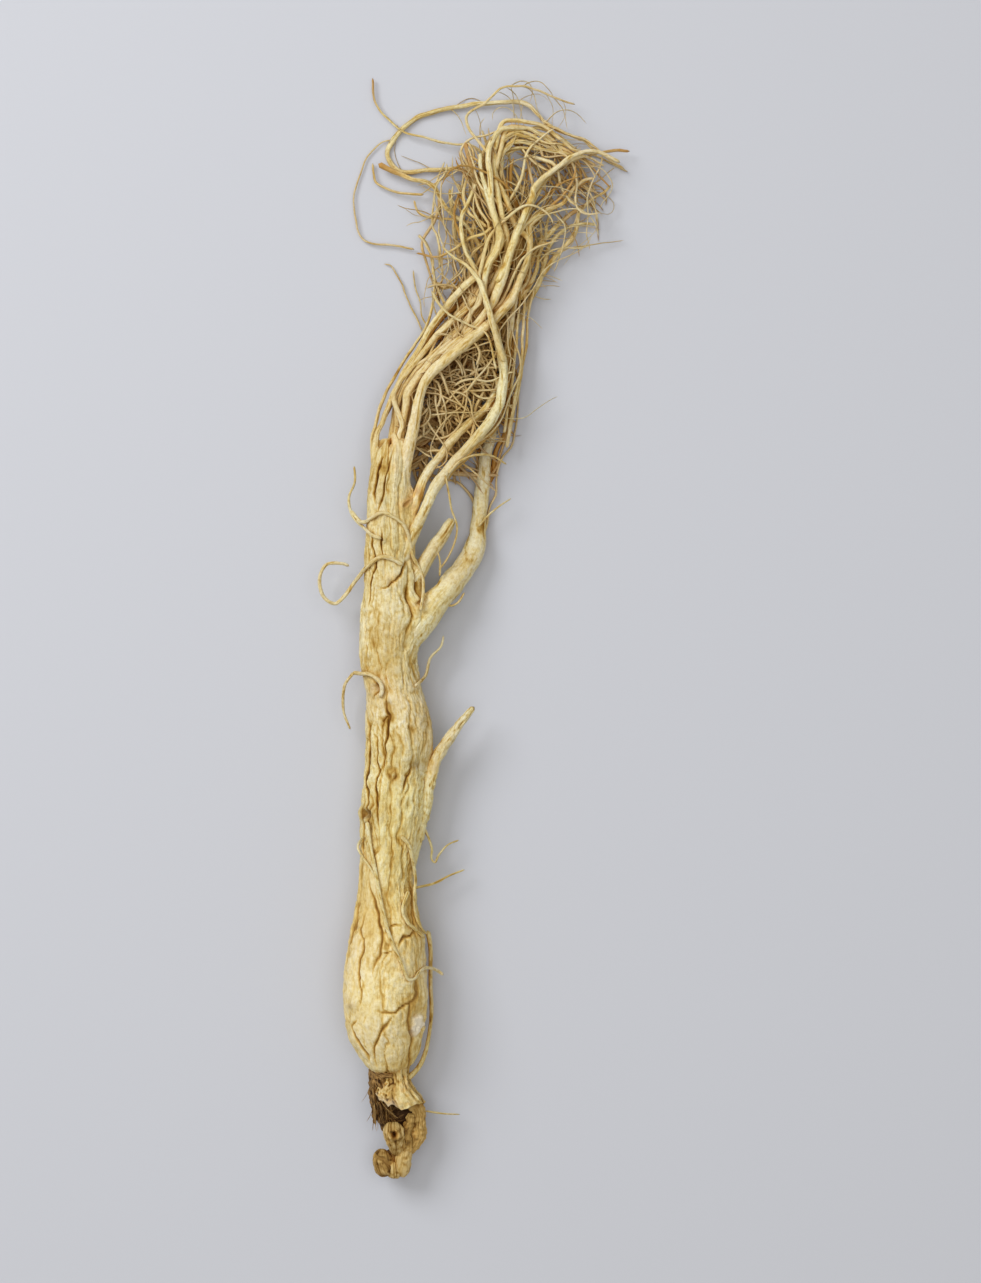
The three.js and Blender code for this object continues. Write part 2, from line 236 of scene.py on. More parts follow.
# Where side roots leave: the skin is drawn out towards them. Place, direction and radius.
SPURS = [
    ((4.2, 76.4, 7.6), (0.72, 0.69, -0.05), 3.4),
    ((3.2, 97.5, 8.2), (0.42, 0.9, 0.1), 1.7),
    ((4, 94, 8.8), (0.45, 0.88, 0.1), 1.5),
    ((4.6, 86.4, 7), (0.56, 0.82, 0), 1.7),
    ((5.6, 32, 7), (0.35, 0.93, 0.05), 1.6),
    ((4, 111.4, 8.6), (0.2, 0.97, 0.1), 1.5),
    ((2.6, 113, 8.4), (0.1, 0.99, 0), 0.8),
    ((-1.8, 110.8, 7.6), (0, 0.99, 0), 0.8),
]


def main_root_skin():
    """The places of the main root's skin, and the marks on it, ring by ring and side by side."""
    rows = [(x, y, lift + FLATNESS * width / 2 - PRESSED, width) for y, x, width, lift in MAIN_ROOT]
    rows, run = resampled(rows, MAIN_RINGS + 1)
    middle, half = rows[:, :3], rows[:, 3:] / 2
    # Rounded off over 3 mm at the rhizome, and 1.3 mm at the tip.
    ends = np.minimum(run / 3.0, (run[-1] - run) / 1.3).clip(0, 1)[:, None]
    half = half * np.sqrt(1 - (1 - ends) ** 2)
    tangent = np.gradient(middle, axis=0)
    right = np.cross(tangent, (0, 0, 1))
    right /= np.linalg.norm(right, axis=1)[:, None]
    up = np.cross(right, tangent / np.linalg.norm(tangent, axis=1)[:, None])
    angle = -math.pi / 2 + np.linspace(0, 2 * math.pi, MAIN_SIDES, endpoint=False)[None, :]
    along = middle[:, 1:2]
    out = np.cos(angle)[..., None] * right[:, None] + np.sin(angle)[..., None] * up[:, None] * FLATNESS
    smooth = middle[:, None] + out * half[..., None]
    height, hollow = wrinkles(angle, along, seed=11)
    # The skin is calmer on the right, near the fork.
    calm = 0.6 * np.clip((smooth[..., 0] - 0.2) / 1.5, 0, 1) * np.clip((along - 86) / 5, 0, 1)
    height, hollow = height * (1 - 0.6 * calm), hollow * (1 - calm)

    # Creases, with raised lips, and scars: a pit in a ring, or a pimple where there is no pit.
    scar = np.zeros(height.shape)
    above = np.clip(np.sin(angle) * 3 + 0.6, 0, 1)
    for depth, width, route in CREASES:
        line = furrow(smooth[..., :2], route, width) * above
        lips = furrow(smooth[..., :2], route, width * 3) * above
        height += depth * (0.25 * lips - 1.1 * line)
        hollow = np.maximum(hollow - 0.12 * lips, 1.1 * line)
    for across, where, radius, rim, pit, stain in SCARS:
        far = np.linalg.norm(smooth[..., :2] - (across, where), axis=-1) / radius
        far = np.where(above > 0, far, 9)
        ring = np.exp(-(((far - 0.75) / 0.4) ** 2))
        hole = np.exp(-((far / 0.42) ** 2))
        height += rim * np.where(pit > 0, ring, np.exp(-(far**2))) - pit * hole
        scar = np.maximum(scar, stain * (0.5 * np.exp(-(far**2) / 1.5) + hole).clip(0, 1))

    # Reddish brown at the torn tip, over the shoulder and in the stains.
    rust = 0.25 * np.clip((along - 112) / 4, 0, 1) * np.clip(0.5 - np.sin(3 * angle), 0, 1)
    rust = np.maximum(rust, 0.17 * np.clip((36 - along) / 16, 0, 1))
    for across, where, radius, strength in STAINS:
        far = np.linalg.norm(smooth[..., :2] - (across, where), axis=-1) / radius
        rust = np.maximum(rust, strength * np.exp(-(far**2)) * above)
    # Painted shade: darker on the left side from 78 mm along.
    painted_left_shade = 0.12 * np.clip(-1.0 - smooth[..., 0] / 2, 0, 1) * np.clip((along - 78) / 8, 0, 1)

    # The chip: rough inside, with an uneven outline and a groove round it.
    place, radius = CHIP
    far = np.linalg.norm((smooth - place) / (1, 1.6, 1.6), axis=-1) / radius
    far += 0.5 * ripple(smooth[..., 0] / 1.1, smooth[..., 1] / 1.1, 0.5, 71)
    torn = 1 / (1 + np.exp(9 * (far - 1)))
    height += 0.25 * torn * ripple(smooth[..., 0] * 2, smooth[..., 1] * 2, 0.5, 72) + 0.15 * torn
    height -= 0.45 * np.exp(-(((far - 1.2) / 0.22) ** 2))

    # The tip is ragged where the strands leave it, and the skin is drawn out into the side roots.
    skin = middle[:, None] + out * (half + height * np.clip(half / 5, 0, 1))[..., None]
    ragged = ripple(3 * np.cos(angle), 3 * np.sin(angle), 0.5, 91)
    ragged = ragged + 0.5 * ripple(smooth[..., 0], smooth[..., 2], 0.5, 92)
    skin[..., 1] += 2.2 * ragged * np.clip(1 - (run[-1] - run) / 3.2, 0, 1)[:, None] ** 2
    for place, towards, radius in SPURS:
        towards = np.array(towards) / np.linalg.norm(towards)
        apart = skin - place
        reach = apart @ towards
        aside = np.linalg.norm(apart - reach[..., None] * towards, axis=-1)
        pull = 1.5 * radius * np.exp(-((aside / (1.25 * radius)) ** 2))
        pull = pull * np.clip(reach / radius + 0.4, 0, 1)
        skin = skin + pull[..., None] * towards
    skin[..., 2] = np.maximum(skin[..., 2], 0)

    # Aged, bark-like skin at the rhizome's end and at the tip, and a darker grey-brown patch on the
    # left of the waist.
    age = np.clip((-12.5 - along) / 2, 0, 0.8)
    age = age + 0.3 * np.exp(-(((smooth[..., 0] + 4) / 3) ** 2) - ((along - 24) / 11) ** 2) * above
    age = age + np.clip((along - 114) / 4, 0, 0.6) * np.clip(0.4 - ragged, 0, 1)
    hollow = np.clip(hollow + 0.04 + painted_left_shade, 0, 1)
    grain = (6 * np.cos(angle), 6 * np.sin(angle), along)
    return skin, skin_marks(hollow.shape, grain, hollow=hollow, scar=scar, age=age, rust=rust, torn=torn)


# Painted shade: skin sheltered in creases and between parts is darkened and browned, by how open it is.
PAINTED_SHADE_RAMP = [(0.05, (0.58, 0.25, 0.015)), (0.45, (1.0, 0.86, 0.58)), (0.8, (1.0, 1.0, 1.0))]


def dried_skin(name):
    """Pale straw ribs, ochre and brown in the furrows, with fibres, blotches and specks."""
    material = bpy.data.materials.new(name)
    material.use_nodes = True
    nodes, links = material.node_tree.nodes, material.node_tree.links
    nodes.clear()

    def node(kind, **settings):
        made = nodes.new("ShaderNode" + kind)
        for key, value in settings.items():
            if key in made.inputs:
                made.inputs[key].default_value = value
            else:
                setattr(made, key, value)
        return made

    def joined(made, key, value):
        target = next(s for s in made.inputs if s.identifier == key)
        if isinstance(value, bpy.types.NodeSocket):
            links.new(value, target)
        else:
            target.default_value = value

    def mixed(factor, a, b, blend="MIX"):
        mix = node("Mix", data_type="RGBA", blend_type=blend)
        joined(mix, "Factor_Float", factor)
        joined(mix, "A_Color", a)
        joined(mix, "B_Color", b)
        return next(s for s in mix.outputs if s.identifier == "Result_Color")

    def sums(operation, a, b):
        made = node("Math", operation=operation)
        joined(made, "Value", a)
        joined(made, "Value_001", b)
        return made.outputs["Value"]

    def noise(vector, scale, detail, roughness=0.55):
        made = node("TexNoise", Scale=scale, Detail=detail, Roughness=roughness)
        links.new(vector, made.inputs["Vector"])
        return made.outputs["Fac"]

    def ramp(value, *stops):
        made = node("ValToRGB")
        steps = made.color_ramp.elements
        while len(steps) < len(stops):
            steps.new(0.5)
        for step, (position, colour) in zip(steps, stops):
            step.position, step.color = position, (*colour, 1)
        links.new(value, made.inputs["Fac"])
        return made.outputs["Color"]

    def stored(layer, output="Fac"):
        return node("Attribute", attribute_name=layer).outputs[output]

    place = node("TexCoord").outputs["Object"]
    along = node("Mapping", Scale=(1, 1, 0.16))
    links.new(stored("grain", "Vector"), along.inputs["Vector"])
    streak = node("Mapping", Scale=(1, 1, 0.4))
    links.new(stored("grain", "Vector"), streak.inputs["Vector"])
    fibre = noise(along.outputs["Vector"], 2.6, 4, 0.65)
    mottle = noise(streak.outputs["Vector"], 1.9, 3, 0.6)
    grit = noise(place, 1500, 2, 0.6)
    blotch = noise(place, 90, 3, 0.6)
    patch = noise(place, 34, 1)

    # The colour goes by how deep in a furrow the skin is, made uneven by its fibres.
    uneven = sums("MULTIPLY_ADD", sums("SUBTRACT", fibre, 0.5), 0.7)
    joined(uneven.node, "Value_002", stored("hollow"))
    skin = ramp(
        uneven,
        (0.0, (0.89, 0.88, 0.69)),
        (0.22, (0.84, 0.77, 0.46)),
        (0.46, (0.62, 0.455, 0.15)),
        (0.72, (0.32, 0.165, 0.018)),
        (1.0, (0.11, 0.045, 0.004)),
    )
    skin = mixed(0.8, skin, ramp(mottle, (0.40, (1.0, 1.0, 1.0)), (0.60, (0.92, 0.86, 0.67))), "MULTIPLY")
    skin = mixed(1.0, skin, ramp(blotch, (0.42, (1, 1, 1)), (0.66, (0.84, 0.74, 0.55))), "MULTIPLY")
    skin = mixed(0.6, skin, ramp(patch, (0.35, (0.90, 0.82, 0.80)), (0.62, (1.0, 0.98, 0.80))), "MULTIPLY")
    skin = mixed(0.5, skin, ramp(grit, (0.36, (0.72, 0.62, 0.46)), (0.54, (1, 1, 1))), "MULTIPLY")
    skin = mixed(stored("scar"), skin, (0.15, 0.07, 0.02, 1))
    bark = ramp(uneven, (0.0, (0.66, 0.46, 0.20)), (0.35, (0.36, 0.21, 0.07)), (0.8, (0.045, 0.020, 0.006)))
    skin = mixed(stored("age"), skin, bark)
    rusty = ramp(stored("rust"), (0.25, (0.90, 0.60, 0.20)), (0.6, (0.52, 0.27, 0.07)))
    skin = mixed(stored("rust"), skin, rusty)
    skin = mixed(stored("torn"), skin, (0.88, 0.80, 0.62, 1))
    # Painted shade in the creases and gaps, from how open the skin is.
    painted_shade = node("AmbientOcclusion", samples=6, Distance=0.0035)
    skin = mixed(0.9, skin, ramp(painted_shade.outputs["AO"], *PAINTED_SHADE_RAMP), "MULTIPLY")

    shader = node("BsdfPrincipled")
    shader.inputs["Specular IOR Level"].default_value = 0.15
    links.new(skin, shader.inputs["Base Color"])
    dull = ramp(uneven, (0.0, (0.5, 0.5, 0.5)), (0.6, (0.78, 0.78, 0.78)))
    links.new(dull, shader.inputs["Roughness"])
    relief = sums("MULTIPLY_ADD", grit, 0.45)
    joined(relief.node, "Value_002", fibre)
    bump = node("Bump", Strength=0.8, Distance=0.0004)
    links.new(relief, bump.inputs["Height"])
    links.new(bump.outputs["Normal"], shader.inputs["Normal"])
    output = node("OutputMaterial")
    links.new(shader.outputs["BSDF"], output.inputs["Surface"])
    return material


root_skin = dried_skin("dried_root_skin")
bm = new_skin_mesh()
main_skin, main_marks = main_root_skin()
rolled_tube(bm, main_skin, main_marks)
finished_piece(bm, "main_root")

# ------------------------------------------------------------------------------------------------
# The side roots: branches of the same tissue and folded skin as the main root, which they grow out
# of on its right. Two are broken off short.

# Down the middle of each: across, along, height, diameter.
SIDE_ROOTS = {
    "lower_leg": [(2.8, 74.5, 7.2, 7.2), (6.6, 79, 7, 6.8), (10.2, 83.4, 6.4, 5.8),
        (13.4, 86.9, 5.6, 5.2), (16.3, 90.7, 4.4, 4.9), (18.6, 95, 3.2, 4.3), (19.6, 99.5, 2.2, 3.7),
        (20.1, 104.6, 1.75, 3.4), (20.5, 109.6, 1.65, 3.2), (21, 114.6, 1.4, 2.7), (22.4, 120, 1, 2),
        (24.4, 127, 0.85, 1.6), (25.8, 135, 0.75, 1.4), (25.4, 144, 0.65, 1.2), (27.6, 153, 0.6, 1.1),
        (32.4, 161, 0.5, 0.9)],
    "upper_leg": [(2.4, 96, 8, 4.4), (4.8, 100.6, 8.4, 3), (6.6, 105.4, 8.4, 2.3), (8.8, 110.6, 8, 2),
        (12, 115.2, 7.4, 1.9), (15.2, 118.9, 6.8, 1.9), (18.4, 121.9, 6.2, 1.8), (21.6, 125.2, 5.6, 1.7),
        (24, 129.6, 5.2, 1.6), (25.6, 136, 4.8, 1.5), (26.6, 143, 4.6, 1.4), (27.6, 150.6, 4.6, 1.4),
        (28, 158, 4.6, 1.3), (26.8, 165, 4.6, 1.2), (24.6, 171, 4.8, 1.1), (24.4, 176.8, 5, 1),
        (27, 181, 4.6, 1), (31.4, 183.4, 4, 0.9), (36.4, 181.8, 3.2, 0.8), (41, 178.4, 2.4, 0.6)],
    "pale_leg": [(3, 92.4, 8, 4.2), (5.4, 96.4, 9.2, 2.9), (7.6, 101.4, 9.6, 2.4), (10.3, 107, 9.4, 2.3),
        (13.2, 111.2, 9.2, 2.2), (16.3, 114.8, 9, 2.2), (19.4, 118.3, 8.8, 2.2), (22.3, 122, 8.6, 2.2),
        (24.2, 126.2, 8.2, 2.1), (24.7, 131, 7.8, 1.9), (24, 136.4, 7.4, 1.8), (22.6, 141.8, 7.2, 1.6),
        (21.2, 145.6, 7.2, 1.5), (20.5, 149.6, 7.2, 1.5), (21.7, 154.6, 7.4, 1.5),
        (23.6, 158.6, 7.6, 1.5), (23.4, 162.4, 7.8, 1.4), (21.8, 167, 7.8, 1.3), (20.2, 172.4, 7.4, 1.1),
        (19.6, 178, 6.6, 0.9)],
    "short_leg": [(3.4, 84.5, 6.8, 4), (7.2, 90, 7.2, 3.1), (10.4, 95.4, 7.2, 2.8), (13, 99.2, 7, 2.5),
        (14.2, 101.2, 6.8, 1.7)],
    "broken_leg": [(4.6, 30, 7, 3.6), (7.4, 37, 7.2, 3), (8.8, 44, 7.4, 2.8), (10.2, 50.4, 7.6, 2.8),
        (14, 56.4, 7.8, 2.3), (18.6, 61.8, 7.6, 1.3)],
}


def frames_along(middle):
    """Directions to the right of a path and above it at each of its points, without a twist."""
    tangent = np.gradient(middle, axis=0)
    tangent /= np.linalg.norm(tangent, axis=1)[:, None]
    right = np.cross(tangent[0], (0, 0, 1))
    if np.linalg.norm(right) < 0.1:
        right = np.cross(tangent[0], (0, 1, 0))
    rights = []
    for direction in tangent:
        right = right - direction * (right @ direction)
        right = right / np.linalg.norm(right)
        rights.append(right)
    rights = np.array(rights)
    return rights, np.cross(rights, tangent)


def root_length(
    bm, route, seed, sides, spacing, folds, crowd, wander=0.0, age=0.0, rust=0.0, gold=0.0,
    shade=0.0, rough=0.0, blunt=True, dents=(), stains=(), clefts=(),
):
    """A length of side root or rootlet with a folded skin, closed at both ends. Rust reddens its tip and
    gold all of it, and rough crumples it. Shade darkens it: its own tone mostly, and painted shade in
    the rhizome's recesses. Dents are hollows, each with its place, radius and depth. Stains are rusty,
    each with its place, radius and strength. Clefts are deep furrows on the upper side, each with its
    depth, width and route."""
    run = resampled(route, 80)[1]
    count = max(int(run[-1] / spacing), 6)
    rows, run = resampled(route, count + 1)
    middle, half = rows[:, :3].copy(), rows[:, 3:] / 2
    if wander:
        for axis in range(3):
            sway = ripple(run / 7, 0.5, 0.5, seed + axis)
            sway += 0.5 * ripple(run / 2.6, 0.5, 0.5, seed + axis + 3)
            middle[:, axis] += wander * (0.5 if axis == 2 else 1) * sway * np.clip(run / 4, 0, 1)
    # Rounded ends: short where they are blunt, drawn out where they aren't.
    closing = half[:, 0] * (0.7 if blunt else 1.5)
    ends = np.minimum(run / closing, (run[-1] - run) / closing).clip(0, 1)[:, None]
    half = half * np.sqrt(1 - (1 - ends) ** 2) * (1 + 0.10 * ripple(run / 3, 0.5, 0.5, seed + 8))[:, None]
    right, up = frames_along(middle)
    angle = -math.pi / 2 + np.linspace(0, 2 * math.pi, sides, endpoint=False)[None, :]
    height, hollow = wrinkles(angle, run[:, None], seed, folds, crowd)
    out = np.cos(angle)[..., None] * right[:, None] + np.sin(angle)[..., None] * up[:, None]
    skin = middle[:, None] + out * half[..., None] * (1 + height / rows[:, 3:].clip(0.6))[..., None]
    if rough:
        x, y, z = np.moveaxis(skin, -1, 0)
        crumple = ripple(x / 1.5, y / 0.9, z / 1.5, seed + 20)
        crumple += 0.5 * ripple(x / 0.6, y / 0.5, z / 0.6, seed + 21)
        skin = skin + out * (rough * crumple * np.clip(half, 0, 1))[..., None]
        hollow = hollow + 0.5 * np.clip(-crumple, 0, 1)
    stain = np.zeros(hollow.shape)
    for place, radius, depth in dents:
        far = np.linalg.norm(skin - place, axis=-1) / radius
        lip = 0.3 * np.exp(-(((far - 1.5) / 0.4) ** 2))
        skin = skin - out * (depth * (np.exp(-(far**2)) - lip))[..., None]
        hollow = np.maximum(hollow, 1.1 * np.exp(-(far**2)))
        stain = np.maximum(stain, 0.4 * np.exp(-((far / 1.3) ** 2)))
    for place, radius, strength in stains:
        far = np.linalg.norm(skin - place, axis=-1) / radius
        stain = np.maximum(stain, strength * np.exp(-(far**2)))
    for depth, width, cleft in clefts:
        line = furrow(skin[..., :2], cleft, width) * (np.sin(angle) > 0.1)
        skin = skin - out * (depth * line)[..., None]
        hollow = np.maximum(hollow, 1.2 * line)
        stain = np.maximum(stain, 0.45 * line)
    skin[..., 2] = np.maximum(skin[..., 2], 0.02)
    girth = np.clip(0.75 * rows[:, 3].mean(), 1.0, 4.0)
    grain = (girth * np.cos(angle), girth * np.sin(angle), run[:, None] + 37.0 * seed)
    hollow = np.clip(hollow + shade, 0, 1)
    rust = np.maximum(stain, gold + rust * np.clip(1 - (run[-1] - run) / 9, 0, 1)[:, None])
    rolled_tube(bm, skin, skin_marks(hollow.shape, grain, hollow=hollow, age=age, rust=rust))


# Rusty places on them: place, radius and strength.
RUSTY = {"upper_leg": [((5.0, 103.6, 9.4), 1.6, 0.7), ((6.8, 106.8, 9.2), 1.5, 0.7)],
         "broken_leg": [((9.9, 49.4, 9.0), 2.2, 0.4)]}

bm = new_skin_mesh()
for number, (name, route) in enumerate(SIDE_ROOTS.items()):
    root_length(bm, route, seed=40 + 10 * number, sides=36, spacing=0.45, folds=0.36, crowd=0.5,
                wander=0.3, shade=-0.15, rough=0.2 * (name == "broken_leg"), stains=RUSTY.get(name, ()))
finished_piece(bm, "side_roots")

# ------------------------------------------------------------------------------------------------
# The rhizome: the woody, knobbly neck that bore a new stem each year. A flared collar overhangs a
# gap darkened with painted shade, with a fibrous core beside it, a ribbed stub with the hole of an old
# stem, and a cleft, ribbed knob.

# Down the middle of each part: across, along, height, diameter.
RHIZOME = {
    "core": [(0.6, -11, 6.2, 7.6), (-0.4, -14.4, 6.2, 6.6), (-1, -18, 5.8, 5.4), (-0.6, -21.4, 5.4, 5),
        (0.8, -24.6, 5.2, 4.8), (2.4, -27.6, 5, 4.4), (3, -30.4, 4.8, 3.8)],
    "base_fold": [(-3, -12.4, 7.6, 1.6), (-1.6, -13.9, 8.6, 2), (0.4, -14.7, 9.2, 1.8),
        (1.8, -14.8, 9.4, 1.2)],
    "under_fold": [(6.2, -21.8, 6, 3.4), (4.4, -23, 6, 4), (2, -23.6, 5.4, 4.4), (0, -23.2, 5, 3.6)],
    "right_lobe": [(4.6, -19.2, 5.6, 3.4), (6.2, -21.6, 6.4, 3.8), (6.9, -23.8, 6.6, 3.3),
        (6.7, -25.4, 6.4, 3.2), (6.8, -27.2, 6, 3.8), (6, -29.2, 5.8, 3.2), (4.6, -30.8, 5.4, 3),
        (3.4, -32.2, 5, 2.4)],
    "inner_fold": [(5.6, -22.8, 7.6, 2.2), (5.2, -24.6, 7.6, 2.6), (4.6, -26.8, 7.4, 2.4),
        (4.9, -28.6, 7, 2.8), (4.4, -30.6, 6.8, 3), (4.2, -32.6, 6, 2.8)],
    "stub": [(2.4, -31.8, 6.3, 1.6), (2.4, -30.8, 7.1, 2.8), (2.3, -29.3, 7.8, 3.8), (2, -27.6, 8.3, 4.5),
        (1.8, -26, 8.2, 4.5), (1.9, -24.9, 7.6, 3.4)],
    "knob": [(1.6, -30.9, 3.9, 2.6), (1.6, -32, 3.9, 4.2), (1.6, -33.6, 4, 5), (1.7, -35, 3.9, 5),
        (1.8, -36, 3.8, 3.6)],
    "left_lobe": [(-0.4, -30.8, 5.4, 2), (-0.6, -31.8, 5.8, 3.6), (-0.4, -33.4, 5.7, 4.6),
        (0.3, -34.8, 5.4, 5), (1.1, -35.9, 4.9, 4.2)],
    "middle_lobe": [(1.8, -33.3, 6, 1.6), (1.9, -34.3, 6.2, 3), (1.9, -35.6, 5.5, 3.4),
        (1.9, -36.4, 4.7, 2.6)],
    "column": [(4.5, -27.6, 6.8, 2.2), (4.4, -29.6, 6.8, 2.8), (4, -31.6, 6.8, 3.2),
        (3.7, -33.2, 6.4, 3.5), (3.5, -34.8, 5.8, 3.6), (2.9, -36, 4.8, 3)],
}
# How aged, darkened and crumpled each is, and how strongly folded. The core, the fold under the
# collar and the knob are darkened most, as painted shade in the gap under the collar and between the lobes.
LOOKS = {
    "core": (1, 0.35, 0.3, 0.5), "base_fold": (1, 0.2, 0.5, 0.4), "under_fold": (1, 0.6, 0.4, 0.5),
    "right_lobe": (0.55, 0.2, 0.2, 1), "inner_fold": (0.6, 0.3, 0.3, 1), "stub": (0.55, 0.08, 0.15, 0.7),
    "knob": (1, 0.4, 0.2, 0.5), "left_lobe": (0.65, 0.18, 0.12, 0.8),
    "middle_lobe": (0.5, 0.06, 0.1, 0.8), "column": (0.5, 0.03, 0.1, 0.8),
}
# How golden some are, and a rusty spot: place, radius and strength.
GOLDEN = {"right_lobe": 0.3, "inner_fold": 0.2, "column": 0.12}
RUSTY_SPOTS = {"knob": [((2.2, -32.8, 6.4), 0.9, 0.7)]}
# The hole of the old stem, 3 mm deep, and small pits: place, radius and depth.
DENTS = {
    "stub": [((2.0, -27.1, 10.4), 0.6, 3.0), ((1.2, -26.9, 10.4), 0.35, 0.5),
             ((0.7, -28.4, 9.8), 0.4, 0.5), ((3.5, -29.6, 8.6), 0.5, 0.5)],
    "right_lobe": [((5.6, -25.4, 8.0), 0.7, 0.6)],
    "left_lobe": [((-1.9, -32.9, 6.6), 0.4, 0.5)],
}
# Its deep furrow: depth, width, and the route across and along.
CLEFTS = {
    "left_lobe": [(0.8, 0.4, [(-3.2, -31.6), (-2.0, -32.0), (-0.8, -32.5), (0.6, -33.2), (1.6, -33.9)])],
}
# Down the middle of the collar, as above.
COLLAR = [(1.6, -11.4, 6.8, 7.6), (2.1, -13.4, 7, 6.6), (2.2, -15.2, 7.1, 6), (2.3, -16.8, 7.2, 6.8),
    (2.3, -18.2, 7.2, 8.6), (2.6, -19.5, 7, 10.3), (3, -20.8, 6.6, 11.2)]


def collar(bm, seed=131, sides=140, rings=70, wall=0.8):
    """The flared collar, from its closed end to a ragged rim, which turns back inside it."""
    rows = resampled(COLLAR, rings)[0]
    # Back inside, a wall's thickness from the outside.
    back = rows[::-1][2 : rings // 2].copy()
    back[:, 3] -= 2 * wall
    rows = np.vstack([rows, back])
    # 1 at the rim, which is the ragged part, falling to 0 on both sides of it.
    rim = np.r_[np.linspace(0, 1, rings) ** 3, np.linspace(1, 0, len(back)) ** 2][:, None]
    # Closed over six rings at each end.
    place = np.arange(len(rows))
    closing = np.minimum(place / 6, (len(rows) - 1 - place) / 6).clip(0, 1)[:, None]
    half = rows[:, 3:] / 2 * np.sqrt(1 - (1 - closing) ** 2)
    angle = -math.pi / 2 + np.linspace(0, 2 * math.pi, sides, endpoint=False)[None, :]
    x, y, z = np.cos(angle), np.sin(angle), rows[:, 1:2]
    height, hollow = wrinkles(angle, z, seed, scale=0.55, crowd=0.8)
    # Frayed on the upper left.
    frayed = np.clip(0.5 - 1.2 * x, 0, 1) * np.clip(y + 0.5, 0, 1)
    crumple = ripple(x * 4, y * 4, z / 1.4, seed + 3)
    crumple = crumple + (0.4 + frayed) * ripple(x * 10, y * 10, z / 0.6, seed + 4)
    edge = 0.6 * ripple(x * 1.6, y * 1.6, 0.5, seed + 1)
    edge = edge + (0.3 + frayed) * ripple(x * 7, y * 7, 0.5, seed + 2)
    edge = edge + 1.6 * np.clip(-x - 0.3, 0, 1) - 0.8 * np.exp(-(((x - 0.2) / 0.4) ** 2))
    wide = half + (height + 0.24 * crumple) * np.clip(half / 2, 0, 1)
    skin = np.stack([rows[:, :1] + x * wide, z + rim * edge, rows[:, 2:3] + 0.92 * y * wide], axis=-1)
    inside = np.r_[np.zeros(rings), np.ones(len(back))][:, None] * np.ones(height.shape)
    tatters = np.clip(2 * ripple(x * 5, y * 5, 0.5, seed + 6) + frayed, 0, 1)
    torn = np.clip(rim * 1.6 - 0.9, 0, 1) * (1 - inside) * tatters
    hollow = hollow + (0.3 + 0.4 * frayed) * np.clip(-crumple, 0, 1)
    # Painted shade: darker and bark-brown inside, where the rim overhangs it.
    hollow = np.maximum(hollow, 0.75 * inside).clip(0, 1)
    age = 0.35 + 0.4 * frayed * rim + 0.3 * ripple(x * 2, y * 2, z / 2, seed + 5)
    age = np.maximum(age, inside).clip(0, 1)
    rust = np.clip(1.6 * ripple(x * 5, y * 5, z / 0.8, seed + 4) - 0.3, 0, 0.45)
    grain = (3 * x, 3 * y, z)
    marks = skin_marks(hollow.shape, grain, hollow=hollow, age=age, rust=rust, torn=0.6 * torn * frayed)
    rolled_tube(bm, skin, marks)


bm = new_skin_mesh()
collar(bm)
for number, (name, route) in enumerate(RHIZOME.items()):
    age, shade, rough, folds = LOOKS[name]
    root_length(bm, route, seed=150 + 10 * number, sides=72, spacing=0.18, folds=folds, crowd=0.7,
                age=age, shade=shade, rough=rough, gold=GOLDEN.get(name, 0), dents=DENTS.get(name, ()),
                stains=RUSTY_SPOTS.get(name, ()), clefts=CLEFTS.get(name, ()))
finished_piece(bm, "rhizome")

# ------------------------------------------------------------------------------------------------
# The strands that the tip of the main root splits into: root tissue dried long and springy, down to
# the thickness of thread, and curling back over itself at the ends.

